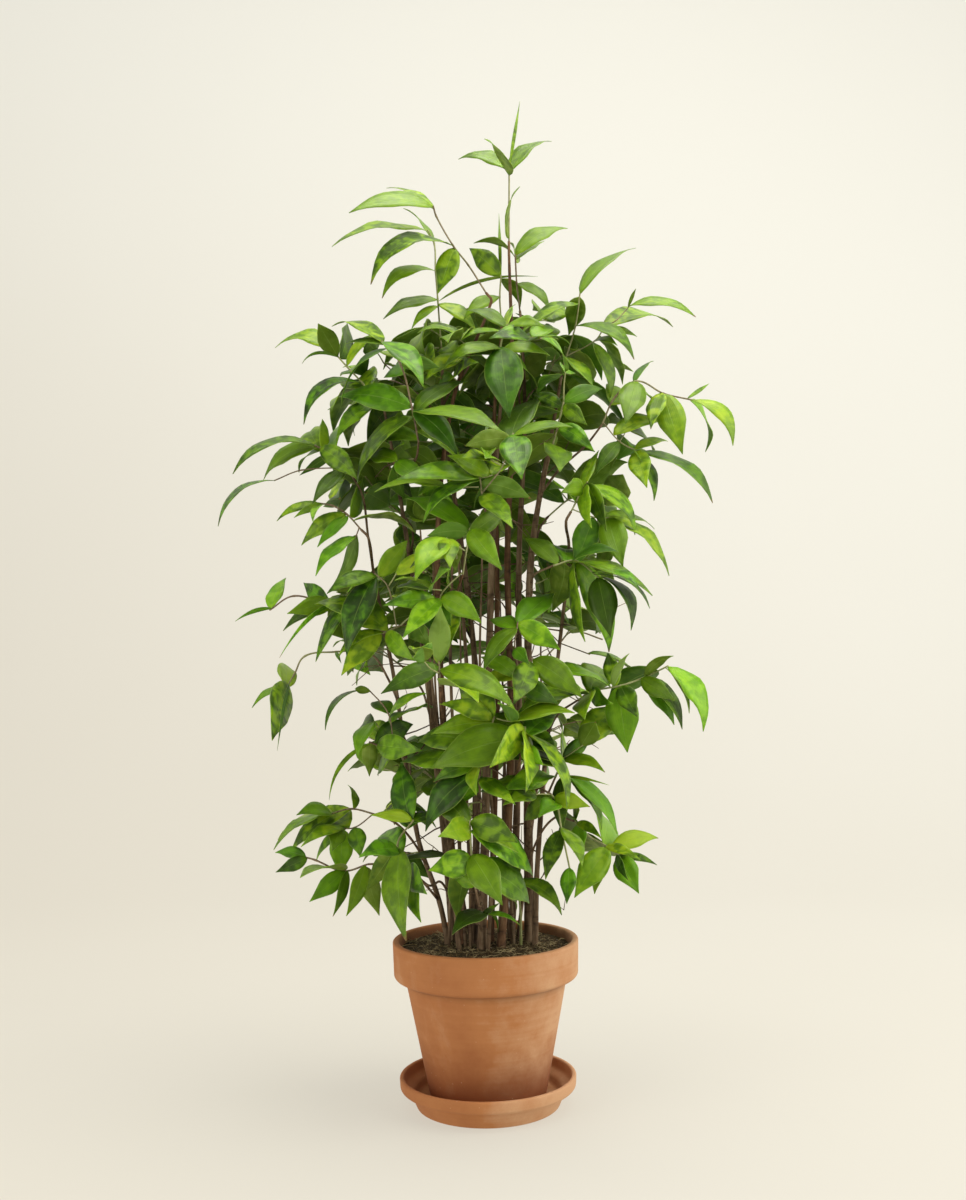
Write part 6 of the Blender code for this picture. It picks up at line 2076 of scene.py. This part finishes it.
class DRACAENA_OT_pot(bpy.types.Operator):
    """Throws the clay pot and its saucer"""

    bl_idname = "dracaena.pot"
    bl_label = "Pot and saucer"

    def execute(self, context):
        clay = context.scene.dracaena_clay
        for name, node, corners, bridge in (
            ("clay_pot", "pot", POT_CORNERS, True), ("clay_saucer", "saucer", SAUCER_CORNERS, False)
        ):
            look = clay_look(node, clay, bridge)
            obj = thrown_ring(name, corners, clay.sides)
            close_ends(bridge)
            round_off(obj, corners, clay.steps)
            face_outwards(obj)
            take(obj)
            bpy.ops.object.shade_smooth_by_angle(angle=SHARP_CLAY)
            obj.data.materials.append(look)
            finish_piece(obj, "clay", node)
        return {"FINISHED"}


class DRACAENA_OT_soil(bpy.types.Operator):
    """Fills the pot with soil and strews crumbs, root fibres and grit on it"""

    bl_idname = "dracaena.soil"
    bl_label = "Soil"

    def execute(self, context):
        soil = context.scene.dracaena_soil
        rng = random.Random(SEED + 1)
        body = soil_body()
        body.data.materials.append(soil_look(soil))
        finish_piece(body, "soil", "soil")

        crumb = crumb_pattern(rng)
        fibre = fibre_pattern()
        earthy = plain_look("soil crumb", soil.dark, soil.pale, 260.0, 0.95)
        stringy = plain_look("root fibre", soil.colour, soil.fibre, 90.0, 0.85)
        gritty = plain_look("pale grit", soil.grit_dark, soil.grit_pale, 400.0, 0.8)
        strewn = (
            (crumb, soil.crumbs, "soil_crumbs", lay_lump, earthy),
            (fibre, soil.fibres, "root_fibres", lay_strand, stringy),
            (crumb, soil.grit, "pale_grit", lay_grit, gritty),
        )
        for pattern, number, name, lay, look in strewn:
            if number:
                obj = scattered(pattern, number, name, rng, lay)
                obj.data.materials.append(look)
                finish_piece(obj, "soil")
        discard(crumb, fibre)
        return {"FINISHED"}


class DRACAENA_OT_canes(bpy.types.Operator):
    """Grows the woody canes with their twigs"""

    bl_idname = "dracaena.canes"
    bl_label = "Canes and twigs"

    def execute(self, context):
        wood = context.scene.dracaena_wood
        rng = random.Random(SEED + 2)
        looks = (
            bark_look("brown bark", wood.dark, wood.colour, wood.pale),
            bark_look("red bark", wood.dark, wood.red, wood.red_pale),
        )
        for index in sorted(PLANT_CANES):
            way, radii = PLANT_CANES[index]
            line, sizes = smooth_way(way, radii, wood.step)
            foot = way[1].z
            flared = [
                size * (1 + wood.flare * math.exp(-max(point.z - foot, 0) / FLARE_HEIGHT))
                for point, size in zip(line, sizes)
            ]
            lines = [(line, flared)]
            for twig, thick in PLANT_TWIGS[index]:
                start = [nearest_on(line, twig[0].z)] + twig[1:]
                sizes = [one * wood.twig_size for one in thick]
                lines.append(smooth_way(start, sizes, TWIG_RING_STEP))
            name = CANES[index][0]
            obj = wood_of("bark_" + name, lines, 5, wood.rough, rng)
            redder = index % 3 == 1
            obj.data.materials.append(looks[redder])
            finish_piece(obj, "bark", name)
        return {"FINISHED"}


class DRACAENA_OT_slim_canes(bpy.types.Operator):
    """Adds the slim bare stems that stand between the canes"""

    bl_idname = "dracaena.slim_canes"
    bl_label = "Slim canes"

    def execute(self, context):
        wood = context.scene.dracaena_wood
        rng = random.Random(SEED + 6)
        lines = grow_slim_canes(ROOM, wood.slim_canes, rng)
        obj = wood_of("slim_canes", lines, 2, wood.rough, rng)
        obj.data.materials.append(bark_look("slim bark", wood.dark, wood.colour, wood.pale))
        finish_piece(obj, "bark")
        return {"FINISHED"}


class DRACAENA_OT_bare_twigs(bpy.types.Operator):
    """Adds the fine bare twigs that stand out among the canes"""

    bl_idname = "dracaena.bare_twigs"
    bl_label = "Bare twigs"

    def execute(self, context):
        wood = context.scene.dracaena_wood
        rng = random.Random(SEED + 3)
        lines = []
        for _ in range(wood.spare_twigs):
            index = rng.choice(sorted(PLANT_CANES))
            line, _ = smooth_way(*PLANT_CANES[index], BARE_TWIG_STEP)
            highest = min(BARE_TWIG_BELOW, line[-1].z - BARE_TWIG_OFF_TOP)
            height = rng.uniform(BARE_TWIG_ABOVE, highest)
            turn = rng.uniform(0, math.tau)
            out = Vector((math.cos(turn), math.sin(turn), rng.uniform(*BARE_TWIG_RISE))).normalized()
            reach = rng.uniform(*BARE_TWIG_REACH) * MM
            lines += kinked_twig(nearest_on(line, height), out, reach, rng)
        obj = wood_of("bare_twigs", lines, 0, BARE_TWIG_ROUGHNESS, rng)
        obj.data.materials.append(bark_look("twig bark", wood.dark, wood.colour, wood.twig))
        finish_piece(obj, "bark")
        return {"FINISHED"}


class DRACAENA_OT_sprays(bpy.types.Operator):
    """Dresses each spray with its shoots and leaves"""

    bl_idname = "dracaena.sprays"
    bl_label = "Leafy sprays"

    def execute(self, context):
        leaf, wood = context.scene.dracaena_leaf, context.scene.dracaena_wood
        rng = random.Random(SEED + 4)
        face, under, shoot = leaf_look(leaf, False), leaf_look(leaf, True), shoot_look(wood)
        pattern = leaf_pattern(leaf.across, leaf.along)
        for spray in PLANT_SPRAYS:
            name = "spray_" + spray.name
            blades = made_leaves(spray.leaves, pattern, leaf, (face, under, shoot), rng)
            stems = wood_of("stems", smooth_shoots(spray, leaf), 2, SHOOT_ROUGHNESS, rng)
            fresh = 1.0 if spray.cane is None else rng.uniform(*GREEN_RANGE)
            dress(blades, stems, shoot, fresh, "leafy_" + spray.name)
            finish_piece(blades, "leaf", name)
        discard(pattern)
        return {"FINISHED"}


class DRACAENA_OT_tufts(bpy.types.Operator):
    """Fills the inside of the crown with small side shoots and their leaves"""

    bl_idname = "dracaena.tufts"
    bl_label = "Inner side shoots"

    def execute(self, context):
        leaf = context.scene.dracaena_leaf
        rng = random.Random(SEED + 5)
        looks = [bpy.data.materials[name] for name in ("leaf face", "leaf underside", "young shoots")]
        pattern = leaf_pattern(leaf.across, leaf.along)
        tufts = grow_tufts(ROOM, PLANT_CANES, PLANT_TWIGS, PLANT_SPRAYS, rng)
        slim = [radius * TUFT_SLIM for radius in TUFT_RADII]
        for name, low, high in TUFT_LEVELS:
            level = [tuft for tuft in tufts if low * MM <= tuft[0][0].z < high * MM]
            if not level:
                continue
            leaves = [one for _, found in level for one in found]
            blades = made_leaves(leaves, pattern, leaf, looks, rng)
            lines = [smooth_way(way, slim, TUFT_STEP) for way, _ in level]
            stems = wood_of("stems", lines, 1, SHOOT_ROUGHNESS, rng)
            dress(blades, stems, looks[2], TUFT_YOUNG, "inner_shoots_" + name)
            finish_piece(blades, "leaf")
        discard(pattern)
        return {"FINISHED"}


class DRACAENA_OT_stage(bpy.types.Operator):
    """Sets up the paper backdrop, the soft lights and the camera"""

    bl_idname = "dracaena.stage"
    bl_label = "Stage"

    def execute(self, context):
        stage = context.scene.dracaena_stage
        hang_paper(stage)
        light_up(stage)
        place_camera()
        return {"FINISHED"}


OPERATORS = (
    DRACAENA_OT_pot,
    DRACAENA_OT_soil,
    DRACAENA_OT_canes,
    DRACAENA_OT_slim_canes,
    DRACAENA_OT_bare_twigs,
    DRACAENA_OT_sprays,
    DRACAENA_OT_tufts,
    DRACAENA_OT_stage,
)


class DRACAENA_PT_panel(bpy.types.Panel):
    """The pieces of the plant and what can be changed on them"""

    bl_idname = "DRACAENA_PT_panel"
    bl_label = "Potted dracaena"
    bl_space_type = "VIEW_3D"
    bl_region_type = "UI"
    bl_category = "Dracaena"

    def draw(self, context):
        for operator in OPERATORS:
            self.layout.operator(operator.bl_idname)
        for name, group in GROUPS.items():
            box = self.layout.box()
            box.label(text=group.__doc__)
            for key in group.__annotations__:
                box.prop(getattr(context.scene, name), key)


def register():
    """Makes the settings, the operators and the panel known to Blender."""
    for group in (*GROUPS.values(), *OPERATORS, DRACAENA_PT_panel):
        bpy.utils.register_class(group)
    for name, group in GROUPS.items():
        setattr(bpy.types.Scene, name, bpy.props.PointerProperty(type=group))


def unregister():
    """Takes them away again."""
    for name in GROUPS:
        delattr(bpy.types.Scene, name)
    for group in reversed((*GROUPS.values(), *OPERATORS, DRACAENA_PT_panel)):
        bpy.utils.unregister_class(group)


def main():
    """Builds every piece in order."""
    register()
    bpy.ops.dracaena.pot()
    bpy.ops.dracaena.soil()
    bpy.ops.dracaena.canes()
    bpy.ops.dracaena.slim_canes()
    bpy.ops.dracaena.bare_twigs()
    bpy.ops.dracaena.sprays()
    bpy.ops.dracaena.tufts()
    bpy.ops.dracaena.stage()


if __name__ == "__main__":
    main()
